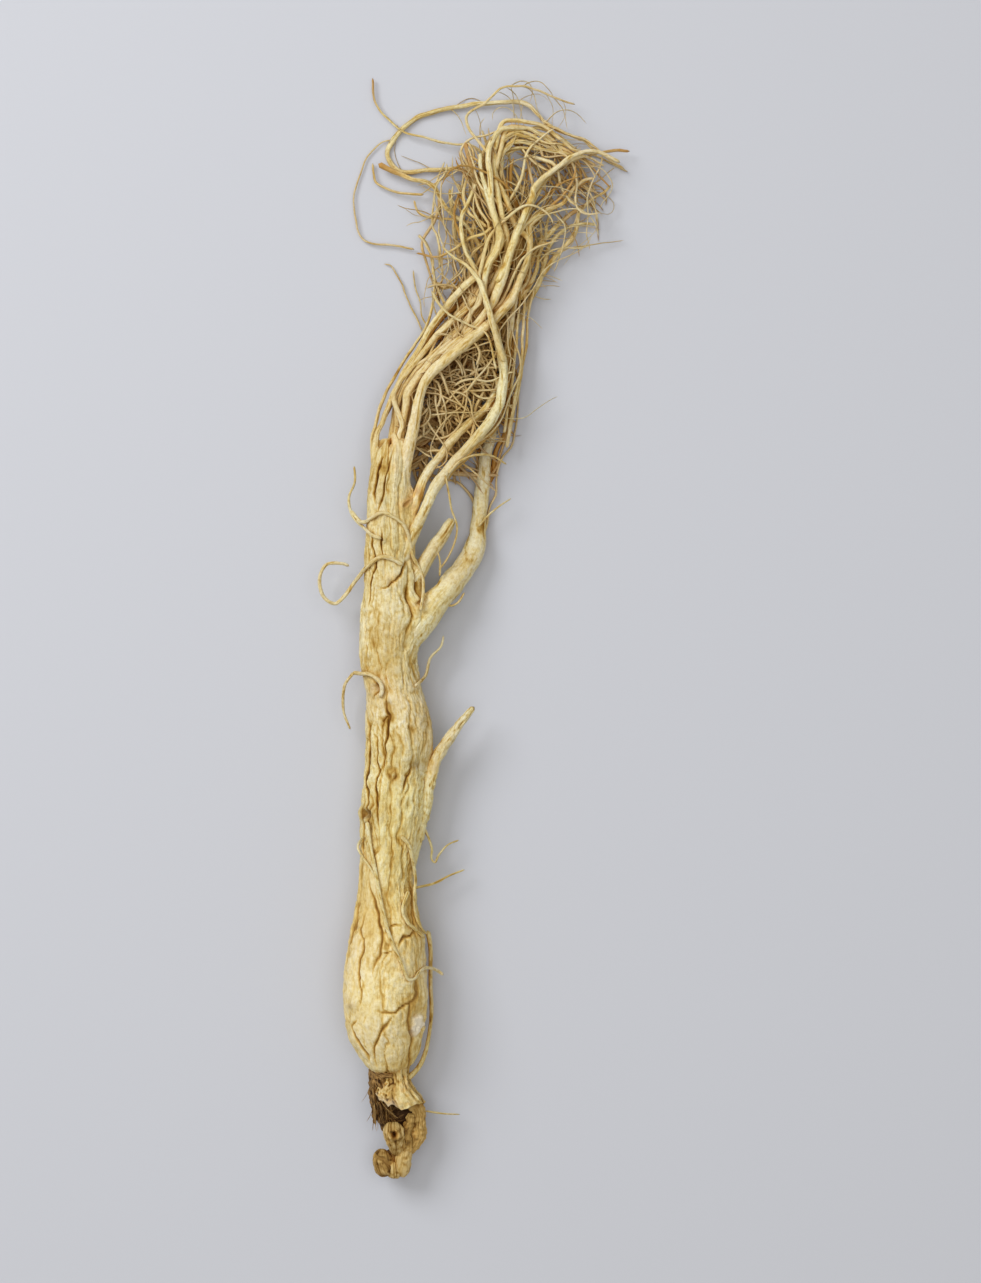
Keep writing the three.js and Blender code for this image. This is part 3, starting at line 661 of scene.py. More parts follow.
# Across, along, height, diameter.
STRANDS = [
    [(3.4, 104, 8, 2.2), (4, 111, 8.5, 2.8), (4.7, 115.2, 9.2, 2.8), (5.4, 118, 9.8, 2.5),
     (6.2, 121.4, 10, 2.3), (6.8, 124.6, 10, 2.3), (7.3, 127, 9.8, 2.1), (8.2, 129.4, 9.6, 2.1),
     (9.6, 131.5, 9.4, 2.2), (11.7, 133.3, 9.2, 2.3), (14.4, 135.6, 9, 2.3), (17.4, 138.2, 8.6, 2.3),
     (20, 140.1, 8, 2.2), (23.7, 143.7, 7.6, 2), (26.1, 146.3, 7.4, 1.9), (27.6, 149.3, 7.2, 1.7),
     (28.7, 152.2, 7, 1.5), (29.8, 155.6, 6.6, 1.4), (30.2, 159.4, 6.2, 1.1), (29.8, 163, 5.8, 1),
     (31.6, 169, 5.2, 0.9), (36, 174.8, 4.2, 0.8), (45, 178.4, 2.8, 0.5)],
    [(2.4, 104, 7.6, 1.8), (2.9, 114, 7.6, 1.8), (3.6, 120, 7.8, 1.4), (4.4, 124, 7.8, 1.7),
     (5, 127.6, 7.8, 1.8), (7.3, 131.1, 7.6, 1.7), (9.6, 133.4, 7.6, 1.7), (13, 136.8, 7.4, 1.5),
     (16.6, 139.6, 7.2, 1.6), (19.4, 142.2, 7.2, 1.8), (22.2, 145.5, 7.6, 2), (23.6, 148.3, 8, 2.1),
     (24.5, 150.7, 8.2, 2.1), (25.2, 153.4, 8.2, 1.9), (26, 156.6, 8, 1.7), (27.3, 160.4, 7.6, 1.6),
     (28.8, 163.2, 7.2, 1.5), (30.4, 167.2, 6.6, 1.4), (31.3, 170, 6.2, 1.4), (34.9, 174, 5.2, 1.3),
     (37.8, 176, 4.6, 1.1), (41.6, 177.4, 4, 0.8), (46, 175.4, 3, 0.5)],
    [(1.2, 104, 7, 1.8), (1.8, 114, 6.6, 1.7), (2.4, 120, 6.8, 1.4), (2.9, 125.8, 6.8, 1.1),
     (5.7, 131.1, 6.4, 1.1), (9.7, 135.4, 6, 1.3), (13.4, 139.1, 5.6, 1.5), (16, 141.3, 5.4, 1.6),
     (18.5, 143.4, 5.2, 1.6), (20.6, 146, 5.2, 1.7), (22.6, 150, 5.4, 1.7), (24.4, 154, 5.8, 1.6),
     (25.3, 157, 6.4, 1.5), (25.5, 159.8, 6.8, 1.5), (24.5, 165, 7, 1.4), (23.5, 169, 6.8, 1.3),
     (22.8, 172, 6.6, 1.2), (22.6, 175.8, 6.2, 1.1), (23.6, 179.4, 5.6, 1), (27, 181.8, 5, 0.9),
     (31, 181, 4.2, 0.8), (35.7, 178.6, 3.4, 0.7), (40.8, 175, 2.4, 0.6), (44.6, 169.6, 1.6, 0.4)],
    [(0, 104, 7, 1.6), (0.6, 114, 6.4, 1.6), (1.6, 121, 5.6, 1.3), (3.2, 127, 4.6, 1.4),
     (6.4, 133.4, 3.6, 1.5), (10.4, 139.4, 2.6, 1.6), (14.4, 144.6, 2, 1.6), (18.4, 149.4, 1.6, 1.6),
     (21.4, 156, 1.4, 1.4), (20.6, 164, 1.4, 1.2), (18.6, 170.4, 1.4, 1.1), (16.6, 174.6, 1.4, 1),
     (9.6, 175, 1, 1), (3, 174.8, 0.6, 1), (0.1, 178.4, 0.6, 1.1), (2.1, 182.4, 0.6, 1.1),
     (6.7, 186.1, 0.7, 1.1), (13.6, 188.2, 1, 1.1), (20.5, 188.9, 1.4, 1.1), (28.5, 189.1, 1.8, 1),
     (31.7, 186.7, 1.8, 0.9), (34.3, 183.1, 1.8, 0.8), (37.3, 179.2, 1.2, 0.7), (43.5, 178.4, 0.8, 0.5),
     (51, 174.8, 0.5, 0.4)],
    [(-0.6, 104, 7.6, 1.4), (-2, 112.5, 7.8, 1.6), (-1.9, 117.8, 7.6, 1.4), (-0.6, 121, 7.4, 1.2),
     (1.6, 126.8, 7, 1.3), (4.1, 131.9, 6.6, 1.2), (7.1, 137, 6.2, 1.3), (9.6, 141.3, 5.8, 1.4),
     (12.4, 145.3, 5.6, 1.5), (15, 148.1, 5.8, 1.6), (18, 150.9, 6.2, 1.7), (20.3, 152.7, 6.8, 1.7),
     (22.1, 155, 7.4, 1.7), (23.5, 157, 7.8, 1.7), (24.3, 159.2, 8, 1.6), (23.5, 162.4, 8, 1.5),
     (22.4, 167, 7.8, 1.5), (22.1, 171, 7.6, 1.4), (21.6, 177, 7.2, 1.3), (22.2, 180, 6.8, 1.2),
     (24.4, 182.8, 6.2, 1.1), (28.5, 183.1, 5.4, 1), (31.5, 182.4, 4.8, 0.9), (37.4, 177.6, 3.4, 0.6),
     (41.6, 173, 2.2, 0.4)],
    [(0.6, 104, 8, 1.6), (2.4, 113, 8.6, 1.5), (3, 118.6, 8.6, 1.3), (3.5, 121, 8.4, 1.2),
     (1.9, 126, 7.6, 1.2), (2.6, 128.6, 7.2, 1.2), (4.6, 131.8, 6.8, 1.2), (9.4, 138, 6, 1.4),
     (12.4, 141.1, 5.8, 1.5), (16.8, 145.3, 5.4, 1.5), (21, 150.6, 4.8, 1.5), (24, 153.4, 4.8, 1.5),
     (26.8, 156.2, 5, 1.4), (27.7, 158.8, 5.2, 1.4), (27.3, 162.4, 5.6, 1.3), (26.1, 166, 5.8, 1.3),
     (23.7, 171.8, 6, 1.2), (22.6, 175, 5.8, 1.1), (23, 179, 5.2, 1), (27, 182, 4.4, 0.9),
     (32, 180, 3.4, 0.7), (38, 176, 2.2, 0.5)],
    [(24.9, 133.7, 8.4, 1.4), (23.7, 137.1, 8.8, 1.4), (22.5, 140.7, 9.6, 1.4), (21.7, 143.7, 9.8, 1.3),
     (20.3, 149.3, 9, 1.2), (18.9, 151.7, 8.4, 1), (17.2, 153.8, 7.6, 0.8), (14.4, 155.8, 6.8, 0.6),
     (11.6, 158.4, 5.6, 0.5)],
    [(21.6, 155, 4.4, 1.2), (17.4, 162.4, 4, 1), (12.6, 166.8, 3, 0.9), (9.8, 171.6, 2.4, 1),
     (4.4, 173.3, 2.2, 1.1), (-1.6, 176, 2.4, 1.3)],
]
# Thinner ones: height and diameter at the start, both at the end, and the route across and along.
THIN_STRANDS = [
    (7, 0.9, 2, 0.5, [(-1.6, 108), (-2.7, 116), (-2.1, 121.6), (-0.4, 126.6), (2.4, 131.9), (5.3, 136.4),
     (8.4, 141.4), (10.1, 147), (10.1, 152), (8.8, 159), (6.7, 161.2)]),
    (5.6, 1.4, 4.4, 0.8, [(2.6, 108), (3, 120), (4.8, 128.8), (9, 134.6), (14, 139.4), (18.8, 144.2),
     (22.5, 150.4), (25.5, 157.6), (24.8, 163.9), (23.2, 170.3), (22.5, 176), (25.5, 182.4)]),
    (6.6, 1.2, 5, 0.7, [(3.6, 108), (4.6, 121), (6.2, 128), (12.4, 134.4), (17.4, 139.8), (20.6, 144.6),
     (24, 150.6), (25.5, 156), (27.4, 161), (29.3, 164.6), (30.6, 168)]),
    (8.6, 1.7, 5, 0.8, [(23.4, 150), (25.8, 155.6), (28.3, 162.7), (30.6, 167.8), (31.4, 170.8),
     (36, 174.6), (39.8, 177.4), (44.3, 178.2), (49, 176)]),
    (7.6, 1.3, 3, 0.7, [(26, 156), (27.6, 160.4), (29.8, 163.2), (32.9, 165.5), (36, 166.7), (38, 168.3),
     (39.8, 170.8), (42.9, 172.6)]),
    (6.4, 1.6, 6, 0.9, [(22.5, 144), (26.4, 147.8), (28.9, 153), (30.2, 159), (27, 162.7), (25.8, 166.5),
     (24.5, 169.5), (23.2, 173.8), (23, 178)]),
    (7.4, 1, 3.4, 0.6, [(20.2, 150), (17.1, 156.6), (16, 160.6), (16, 164.4), (17.9, 169.5),
     (19.9, 173.9), (21.7, 176.9), (27, 179), (33.3, 178.8), (38.5, 178.4)]),
    (6.6, 0.8, 4, 0.5, [(22.4, 162.3), (20.6, 160.9), (17.2, 160.1), (15.2, 158.5), (10.8, 156.2),
     (6.4, 156.8)]),
    (6.2, 0.8, 4.4, 0.6, [(21.4, 162.1), (19.4, 163.7), (17.2, 165.9), (16.4, 170.4), (18.6, 177),
     (17.2, 180.4)]),
    (3.4, 0.7, 2, 0.4, [(11.3, 154), (11.3, 157.9), (10.8, 160.7), (9.7, 162.9), (9.8, 166.6),
     (10.6, 171.9), (12.3, 176.6)]),
    (3.8, 0.7, 3.4, 0.4, [(12.6, 146), (10.4, 150.6), (12, 149.6), (14, 150.4), (15, 152), (14.2, 155)]),
    (6.8, 0.7, 3, 0.4, [(22, 176.8), (16.8, 184.6), (20.7, 188.1), (24.2, 191.2), (28.3, 192),
     (32.1, 191.2), (37.5, 188.9), (39.8, 188.4)]),
    (4, 0.8, 1.2, 0.5, [(33, 185), (36, 183), (38.8, 182), (41.8, 181), (43.8, 179.2), (48.7, 176.7)]),
    (2.4, 0.6, 0.8, 0.5, [(21.4, 176.8), (18.4, 179.7), (12.3, 180.6), (4.5, 182.7), (0.8, 185.1),
     (-2.2, 189.1), (-2.8, 194.4)]),
    (1.2, 0.5, 0.4, 0.3, [(6, 158.2), (1.8, 159), (-3, 159.6), (-5.4, 161.2), (-6.6, 166), (-6.4, 171.4),
     (-4.6, 177), (-1.4, 180.5), (1, 181.4)]),
    (7, 0.6, 9.8, 0.5, [(9.6, 148.9), (11.4, 145.7), (14, 143.3), (17.2, 141.5), (20.5, 140.1),
     (21.9, 138.1), (22.5, 135.7), (23.4, 132)]),
    (5.8, 1.2, 4.4, 1, [(22.4, 165.8), (20.5, 169.8), (18.7, 172.6), (17.6, 176), (16.6, 180.2)]),
    (2, 0.6, 0.8, 0.5, [(8, 169.6), (4.8, 169.8), (2.1, 170.1), (-1.7, 171.9), (-2.7, 174),
     (-3, 176.4)]),
    (5.4, 1, 2.4, 0.4, [(25.2, 182.6), (29, 181.4), (33.8, 181.8), (37, 178), (39, 173), (43.8, 170)]),
    (5.8, 0.8, 2.8, 0.4, [(24.2, 180.6), (28, 182.6), (33, 180.2), (38.6, 179.4), (43, 175.4),
     (47, 171)]),
    (4.4, 1.1, 2.6, 0.6, [(14.3, 143.6), (17.6, 148.2), (19.3, 153.8), (18.2, 160.2), (19.6, 166.4),
     (19.3, 171.5), (21.8, 177.2), (20.2, 183.2)]),
    (3, 1.2, 3, 0.7, [(20, 139.6), (24, 138.8), (25, 143.6), (23.2, 148.4), (24, 152.8), (28, 156.4),
     (31.1, 163.7), (33.6, 167.6)]),
    # Over the crest of the tuft and down to the right.
    (6.4, 1.1, 2.6, 0.6, [(22.8, 178), (24.4, 183.7), (26.9, 184.6), (29.8, 184.2), (33, 183.5),
     (36.2, 181.2), (38.7, 178.9), (41.7, 178.2), (45.1, 178.2), (48.5, 178.7), (51.6, 178.4)]),
    (6, 1.2, 2, 0.6, [(23, 174), (25.1, 182.4), (28, 183.3), (31.7, 182.4), (34.4, 181), (37.1, 179.2),
     (39.4, 177.8), (40.8, 175.1), (41.2, 171.8)]),
    (5.4, 1.1, 2.8, 0.6, [(22.6, 174.6), (25.7, 179.4), (28.5, 180.3), (31.7, 179.2), (34.8, 178.5),
     (38, 178), (40.8, 177.3), (44.6, 175.6)]),
    (4.6, 0.9, 2.2, 0.5, [(20.6, 175.6), (22.5, 177.6), (24.8, 178), (27.1, 178.9), (29.6, 179.4),
     (32.6, 178.7), (35.3, 177.8), (38.9, 175.6)]),
    (4.4, 0.7, 1.8, 0.4, [(33.6, 183.8), (35.8, 183.2), (38.9, 181.9), (41.7, 181.2), (43.5, 179.8),
     (45.8, 177.8), (48.1, 176.2), (50.3, 175.1)]),
    (3.6, 0.8, 2.6, 0.5, [(24.6, 181.6), (25.5, 178.9), (26.6, 175.1), (28, 172.3), (28.8, 169.8),
     (29.2, 166.4)]),
    (3, 0.7, 2.2, 0.4, [(29.8, 178.2), (32.6, 175.1), (34.4, 172.8), (35.8, 171), (37.1, 168.9),
     (38.3, 167)]),
    # Fanned out from the bundle up to the right.
    (6.8, 1.5, 3.6, 0.7, [(27.2, 149), (28.9, 153.2), (30.1, 156.6), (30.3, 160), (30.2, 162.6),
     (32.1, 164.6), (34.8, 166.2), (37.1, 167.3), (38.3, 168.9), (39.9, 171.2), (41.7, 172.5),
     (44, 172.8)]),
    (2.4, 1.4, 1.6, 0.6, [(25.8, 140), (30, 147), (32.6, 152), (33.8, 157.3), (35.6, 160.4),
     (38.2, 162.5), (41.4, 163.4), (44.4, 163.2)]),
    (3.2, 1.4, 2.2, 0.9, [(26.8, 148), (30.2, 154), (32, 158.4), (34.8, 161.8), (36.7, 163.7),
     (38.9, 165.7), (41.6, 167.6)]),
    (2, 1.2, 1.4, 0.6, [(31.6, 151), (36, 157), (39.2, 160.6), (40.2, 163), (40.5, 165.3), (41.5, 166.8),
     (43.5, 168.7), (45.8, 170), (47.4, 171.8)]),
    (4.2, 1.1, 2.4, 0.6, [(28, 147), (31, 152), (32.2, 156.5), (33.4, 160), (34.2, 164), (35.6, 168.4)]),
    # Beside the upper leg, and down the left of the tuft.
    (4.6, 0.8, 4, 0.6, [(25.4, 116), (26.6, 124), (28.3, 133), (28.8, 140), (29.2, 147), (30.6, 153.6)]),
    (3.6, 0.7, 3.2, 0.6, [(25.8, 118), (27.6, 127), (29.4, 136), (29.8, 143), (31.2, 150.4)]),
    (5.4, 0.7, 4.6, 0.5, [(24.8, 119), (26.4, 129), (27.4, 138), (28, 146), (28.8, 152.4)]),
    (3.4, 0.6, 2, 0.4, [(6.9, 161.1), (8.4, 159.1), (10, 155.3), (9.9, 153), (11.4, 150.1), (14, 150.3),
     (15.2, 152.3), (14.2, 154.8)]),
    (2.4, 0.8, 1.4, 0.5, [(20.4, 163), (18.3, 163.6), (14, 164.3), (9.9, 164.7), (6.8, 166),
     (5.8, 168.6)]),
    (2.4, 1.4, 1.2, 0.9, [(20.6, 143), (18.6, 148), (16.2, 154), (14.8, 160), (14.4, 165), (13.4, 171)]),
    (1.8, 1.1, 1, 0.6, [(21.4, 146), (18.2, 152), (16.8, 158), (16.2, 163), (15, 169.4)]),
    (1, 0.4, 0.4, 0.3, [(7.6, 141), (4.4, 147.8), (3.3, 151.2), (1.1, 154.6), (-0.6, 155.2)]),
    (1.4, 0.4, 0.8, 0.3, [(9, 141.6), (7.7, 144), (7.2, 147.8), (6, 150.8), (5.6, 154)]),
]


def rising(height, thick, last_height, thin, route):
    """The rows of a thin strand, from its route and its height and diameter at each end."""
    share = np.linspace(0, 1, len(route))
    heights = height + share * (last_height - height)
    widths = thick + share * (thin - thick)
    return [(x, y, z, width) for (x, y), z, width in zip(route, heights, widths)]


thin_strands = [rising(*strand) for strand in THIN_STRANDS]
bm = new_skin_mesh()
for number, route in enumerate(STRANDS):
    root_length(bm, route, seed=240 + 10 * number, sides=24, spacing=0.5, folds=0.38, crowd=0.48,
                wander=0.3, shade=-0.14, gold=0.14, rust=0.8 * (number == 7))
for number, route in enumerate(thin_strands):
    root_length(bm, route, seed=320 + 10 * number, sides=12, spacing=0.55, folds=0.22, crowd=0.3,
                wander=0.3, gold=0.14 + 0.1 * (number % 3), rust=0.7 * (number % 3 == 1), shade=-0.1,
                blunt=False)
finished_piece(bm, "strands")

# ------------------------------------------------------------------------------------------------
# The rootlets that lie across the main root: thin lengths of root tissue, grown from its scars and
# side roots, and dried down onto its skin.

# Diameter at the start and at the end, and the route across and along.
CROSSING = [
    (1, 0.9, [(-1, 63.8), (-0.5, 65.2), (-0.7, 66.6), (-1.6, 67.8), (-3.2, 68.7), (-5.2, 68.8),
     (-7.2, 69)]),
    (1, 0.7, [(-3.6, 38.2), (-2.8, 32.1), (-1.8, 27.6), (-0.7, 21.8), (0.5, 16.8), (1.9, 12.8),
     (3.6, 9.2), (4.7, 6.4), (5.8, 5.4), (7.5, 7.2), (9.2, 7.5), (11.7, 6.1), (12.6, 5)]),
    (0.6, 0.4, [(-4.4, 35.2), (-5.6, 32.4), (-3.2, 29), (-1.4, 26.2)]),
    (0.9, 0.6, [(3.4, 35.2), (5.2, 32.8), (6.3, 26.6), (6.1, 22.4), (6.4, 18.7), (7.5, 16.2),
     (8.9, 14.2)]),
    (0.9, 0.6, [(5, 23.8), (3.8, 20.1), (4.7, 17.6), (6.4, 15.9), (8.6, 13.7)]),
    (0.9, 0.7, [(-7.4, 103), (-5, 100.4), (-3, 101), (-0.4, 102.2), (2.4, 101), (4.4, 99), (5.4, 95.6),
     (6, 92.9), (7.7, 89.6), (8, 86.2), (7.4, 81.2)]),
    (1, 0.7, [(4, 91.3), (1.7, 92.6), (-0.8, 93), (-3.4, 91.3), (-6.4, 88), (-8.4, 85.2), (-10.6, 83.4),
     (-13, 85), (-13.8, 88.4), (-12.4, 91.6), (-9, 91.8), (-7, 91)]),
    (0.8, 0.5, [(-0.6, 96.8), (-2.6, 97.6), (-4.6, 99.4), (-6.6, 101.4), (-7.5, 103.6), (-7.6, 106),
     (-6.4, 109), (-6.6, 112.6)]),
    (0.8, 0.5, [(6.2, 66), (8.4, 68.4), (9.4, 72), (11.6, 74.4), (12.2, 77)]),
]
# The rest hang beside it: across, along, height and diameter.
HANGING = [
    [(8.8, 15, 5.4, 1.1), (9.4, 11, 4.4, 1), (9.4, 4.1, 4.2, 1), (9.6, -2, 4.4, 0.9), (9.2, -6.4, 5, 0.9),
     (8.4, -10.4, 5.6, 1), (7.2, -13.2, 6.2, 1.1), (5.4, -15.2, 6.8, 1.3), (3.6, -16.4, 7, 1.5)],
    [(-6.6, 69, 7.8, 0.8), (-8.6, 66, 6.2, 0.7), (-8.8, 61, 5, 0.6), (-7.4, 57, 4.6, 0.5)],
    [(8.4, -22.6, 7, 0.5), (12, -23.4, 5.4, 0.4), (15.6, -23.8, 4, 0.3)],
    [(4.6, 23.6, 6.8, 0.7), (7.4, 24.2, 6.2, 0.6), (10.4, 24.9, 5.4, 0.6), (13.4, 26.4, 4.6, 0.5),
     (16.6, 27.6, 3.8, 0.4)],
    [(7.4, 38, 6.4, 0.7), (8.9, 34.7, 6.2, 0.6), (9.7, 32.2, 5.8, 0.6), (9.6, 30, 5.4, 0.5),
     (10.4, 29.2, 5.2, 0.5), (11.2, 30.8, 5, 0.5), (13, 32.8, 4.4, 0.4), (15.4, 33.8, 3.6, 0.4)],
    [(12.6, 110.2, 10.4, 0.5), (13.4, 106, 9.8, 0.5), (13.9, 103, 9.4, 0.5), (15, 99.6, 9, 0.5),
     (14.6, 96.4, 8.8, 0.5), (13, 92.8, 8.4, 0.5), (11.2, 90.4, 7.4, 0.6)],
    [(11, 94.2, 9.2, 0.4), (11.5, 92, 8.8, 0.4), (11.4, 89, 8, 0.5)],
    [(11.4, 86.8, 6.4, 0.5), (12, 84.4, 6, 0.5), (13.4, 83, 6.2, 0.5), (15.2, 83.6, 6.6, 0.5),
     (16.6, 85.8, 6.4, 0.4)],
    [(19.4, 99.6, 4.4, 0.5), (21.6, 102, 4.6, 0.5), (24, 104, 4.4, 0.4), (26.4, 105.6, 3.6, 0.3)],
    [(13.2, 110.4, 10, 0.6), (15.2, 112.6, 10.6, 0.6), (17.4, 113.8, 10.4, 0.6), (20, 114.4, 9, 0.6),
     (22.6, 114.2, 7, 0.5), (25.4, 112.6, 5.4, 0.4)],
]


def resting(thick, thin, route):
    """The rows of a rootlet laid over the main root, following the height of its skin."""
    flat = resampled([(x, y, 0, 0) for x, y in route], 60)[0][:, :2]
    # The upper side of the main root.
    crest = main_skin[main_skin[..., 2] > 5.0]
    heights = []
    for x, y in flat:
        near = np.hypot(crest[:, 0] - x, crest[:, 1] - y) < 0.8
        heights.append(crest[near, 2].max() if near.any() else 5.6)
    # Evened out, because it bridges the smaller folds.
    heights = np.convolve(np.pad(heights, 3, mode="edge"), np.ones(7) / 7, mode="valid")
    widths = np.linspace(thick, thin, len(flat))
    return [(x, y, z + 0.3 * width, width) for (x, y), z, width in zip(flat, heights, widths)][::2]


bm = new_skin_mesh()
for number, row in enumerate(CROSSING):
    root_length(bm, resting(*row), seed=700 + 10 * number, sides=10, spacing=0.4, folds=0.2, crowd=0.3,
                shade=-0.1, gold=0.1, blunt=False)
for number, route in enumerate(HANGING):
    root_length(bm, route, seed=860 + 10 * number, sides=10, spacing=0.4, folds=0.2, crowd=0.3,
                gold=0.1, blunt=False)
finished_piece(bm, "crossing_rootlets")

# ------------------------------------------------------------------------------------------------
# The rootlets: thinner lengths of root that grow from the strands and side roots, bunched beside
# them and curling off on their own.

draw = np.random.default_rng(7)
# The tuft that they and the strands make up: its middle, and its left, right and top edges.
TUFT = (20, 150)
TUFT_EDGES = (-2, 42, 184)


def wandering(
    start, bearing, length, thick, curl, low, high, thin=0.45, flow=None, pull=0.0, keep=0.78, step=1.5
):
    """A rootlet's middle line, which drifts and curls as it goes, kept between two heights. It keeps a
    share of its turn from step to step, and a flow is a bearing that it is pulled back to. Bearings are
    in radians."""
    left, right, top = TUFT_EDGES
    count = max(int(length / step), 5)
    place = np.array(start, float)
    turn = 0.0
    pitch = draw.normal(0, 0.2)
    rows = []
    for number in range(count + 1):
        rows.append((*place, thick * (1 - (1 - thin) * number / count)))
        turn = keep * turn + draw.normal(0, curl)
        # Beyond the tuft's edges it turns back towards its middle.
        home = math.atan2(TUFT[1] - place[1], TUFT[0] - place[0])
        astray = max(place[1] - top, left - place[0], place[0] - right, 0)
        turn += 0.06 * min(astray, 8) * math.sin(home - bearing)
        if flow is not None:
            turn += pull * math.sin(flow - bearing)
        bearing += turn
        pitch = 0.75 * pitch + draw.normal(0, 0.16) + 0.10 * ((low + high) / 2 - place[2]) / (high - low)
        place = place + step * np.array([math.cos(bearing), math.sin(bearing), math.sin(pitch)])
        place[2] = min(max(place[2], low + thick / 2), high)
    return rows


def side_shoot(parent, first, last, lean):
    """A place on a parent's route between two shares of it, a bearing that leans off it, and how thick
    the parent is there."""
    rows = resampled(parent, 120)[0]
    at = int(draw.uniform(first, last) * (len(rows) - 2))
    ahead = rows[at + 1, :3] - rows[at, :3]
    side = draw.choice((-1, 1))
    return rows[at, :3], math.atan2(ahead[1], ahead[0]) + side * draw.uniform(*lean), rows[at, 3]


def companion(parent, thick, spread, lift, first, last):
    """A rootlet that leaves its parent, runs beside it and then wanders off. First and last, in
    hundredths of the parent's length, are where it leaves and where it wanders off. Spread is how far
    to one side it lies, and lift how far above the parent, or below where less than 0."""
    rows = resampled(parent, 100)[0][first:last:3]
    share = np.linspace(0, 1, len(rows))
    side = draw.choice((-1, 1)) * draw.uniform(*spread)
    seed = int(draw.integers(1000))
    sway = side * share**0.7 + 2.2 * ripple(share * 6, 0.5, 0.5, seed) * share.clip(0, 0.3) / 0.3
    right = frames_along(rows[:, :3])[0]
    path = rows[:, :3] + right * sway[:, None]
    path[:, 2] = (path[:, 2] + lift * (share / 0.2).clip(0, 1)).clip(0.5, 12)
    start = [(*place, thick * (1 - 0.2 * t)) for place, t in zip(path, share)]
    ahead = path[-1] - path[-2]
    bearing = math.atan2(ahead[1], ahead[0])
    return start[:-1] + wandering(path[-1], bearing, draw.uniform(8, 26), 0.8 * thick, 0.10, 0.1, 9)


# What the rootlets grow from, and those of them that keep close together.
LONG_PARENTS = STRANDS[:6] + [SIDE_ROOTS[name] for name in ("lower_leg", "upper_leg", "pale_leg")]
STEADY_PARENTS = [LONG_PARENTS[n] for n in (0, 1, 2, 4, 5, 6, 7, 8)]


def thread(bm, route, sides, hollow, gold, age=0.0):
    """A thin, round rootlet or hair root: darker and richer in colour low down, as painted shade,
    and redder towards its tip.
    """
    # Finer ones are divided more coarsely.
    most = 40 if sides > 4 else 64 // sides
    rows, run = resampled(route, min(2 * len(route), most))
    right, up = frames_along(rows[:, :3])
    half = rows[:, 3:] / 2 * np.r_[0.1, np.ones(len(rows) - 2), 0.1][:, None]
    half *= 1 + 0.15 * ripple(run / 2, 0.5, 0.5, int(draw.integers(1000)))[:, None]
    angle = np.linspace(0, 2 * math.pi, sides, endpoint=False)[None, :]
    out = np.cos(angle)[..., None] * right[:, None] + np.sin(angle)[..., None] * up[:, None]
    skin = rows[:, None, :3] + out * half[..., None]
    skin[..., 2] = np.maximum(skin[..., 2], 0.02)
    # Painted shade: darker and more golden the lower it lies.
    low = np.clip(1 - rows[:, 2] / 4, 0, 1)[:, None]
    rust = gold + 0.2 * low + draw.uniform(0, 0.25) * (run / run[-1])[:, None] ** 3
    grain = (np.cos(angle), np.sin(angle), run[:, None] + 40 * gold)
    marks = skin_marks(skin.shape[:2], grain, hollow=hollow + 0.25 * low, age=age, rust=rust)
    rolled_tube(bm, skin, marks)


def kept_inside(route, left=-1.2, right=29.0):
    """The route up to where it would stray out of the tuft. Left and right are how far out it may lie
    at the foot of the tuft."""
    for count, knot in enumerate(route):
        x, y = knot[:2]
        # The left edge, by the place along, and the upper one, by the place across.
        edge = np.interp(y, (118, 145, 150, 158, 170, 184), (left, left + 13, 7, 5, 1, -2))
        crest = np.interp(x, (0, 20, 33, 50), (166, 183, 185, 176))
        far_right = right if y < 146 else np.interp(y, (146, 160, 185), (34, 45, 51))
        if x < edge or y > crest or x > far_right:
            return route[:count]
    return route


# Beside the strands and above them.
beside = []
for number in range(36):
    first, last = int(draw.uniform(25, 50)), int(draw.uniform(55, 85))
    thick = 0.4 + 0.7 * draw.uniform() ** 2
    lift = draw.uniform(-3, 0)
    route = companion(STEADY_PARENTS[number % 8], thick, (1.2, 6), lift, first, last)
    route = kept_inside(route, left=-3)
    if len(route) > 8:
        beside.append(route)
parents = LONG_PARENTS + thin_strands
for number in range(64):
    start, bearing, girth = side_shoot(parents[number % len(parents)], 0.35, 0.75, (0.2, 0.8))
    thick = min(0.35 + 0.6 * draw.uniform() ** 2, 0.8 * girth)
    high = draw.choice((5, 6, 10))
    length = draw.uniform(14, 32)
    route = wandering(start, bearing, length, thick, 0.15, 0.1, high, flow=bearing, pull=0.08, keep=0.72)
    route = kept_inside(route)
    if len(route) > 8:
        beside.append(route)
# Hanging from the crest of the tuft, and swept to its right.
for number in range(16):
    start = (draw.uniform(11, 20), draw.uniform(164, 178), draw.uniform(0.8, 5))
    thick = 0.35 + 0.7 * draw.uniform() ** 3
    bearing = draw.normal(-1.5, 0.2)
    length = draw.uniform(16, 30)
    beside.append(wandering(start, bearing, length, thick, 0.16, 0.1, 6, flow=-1.4, pull=0.2, keep=0.6))
for number in range(22):
    start = (draw.uniform(22, 36), draw.uniform(172, 184), draw.uniform(0.8, 5))
    thick = 0.35 + 0.6 * draw.uniform() ** 3
    bearing = draw.normal(-0.5, 0.3)
    length = draw.uniform(14, 26)
    flow = draw.uniform(-1.0, -0.3)
    route = wandering(start, bearing, length, thick, 0.15, 0.1, 5, flow=flow, pull=0.2, keep=0.6)
    route = kept_inside(route)
    if len(route) > 6:
        beside.append(route)
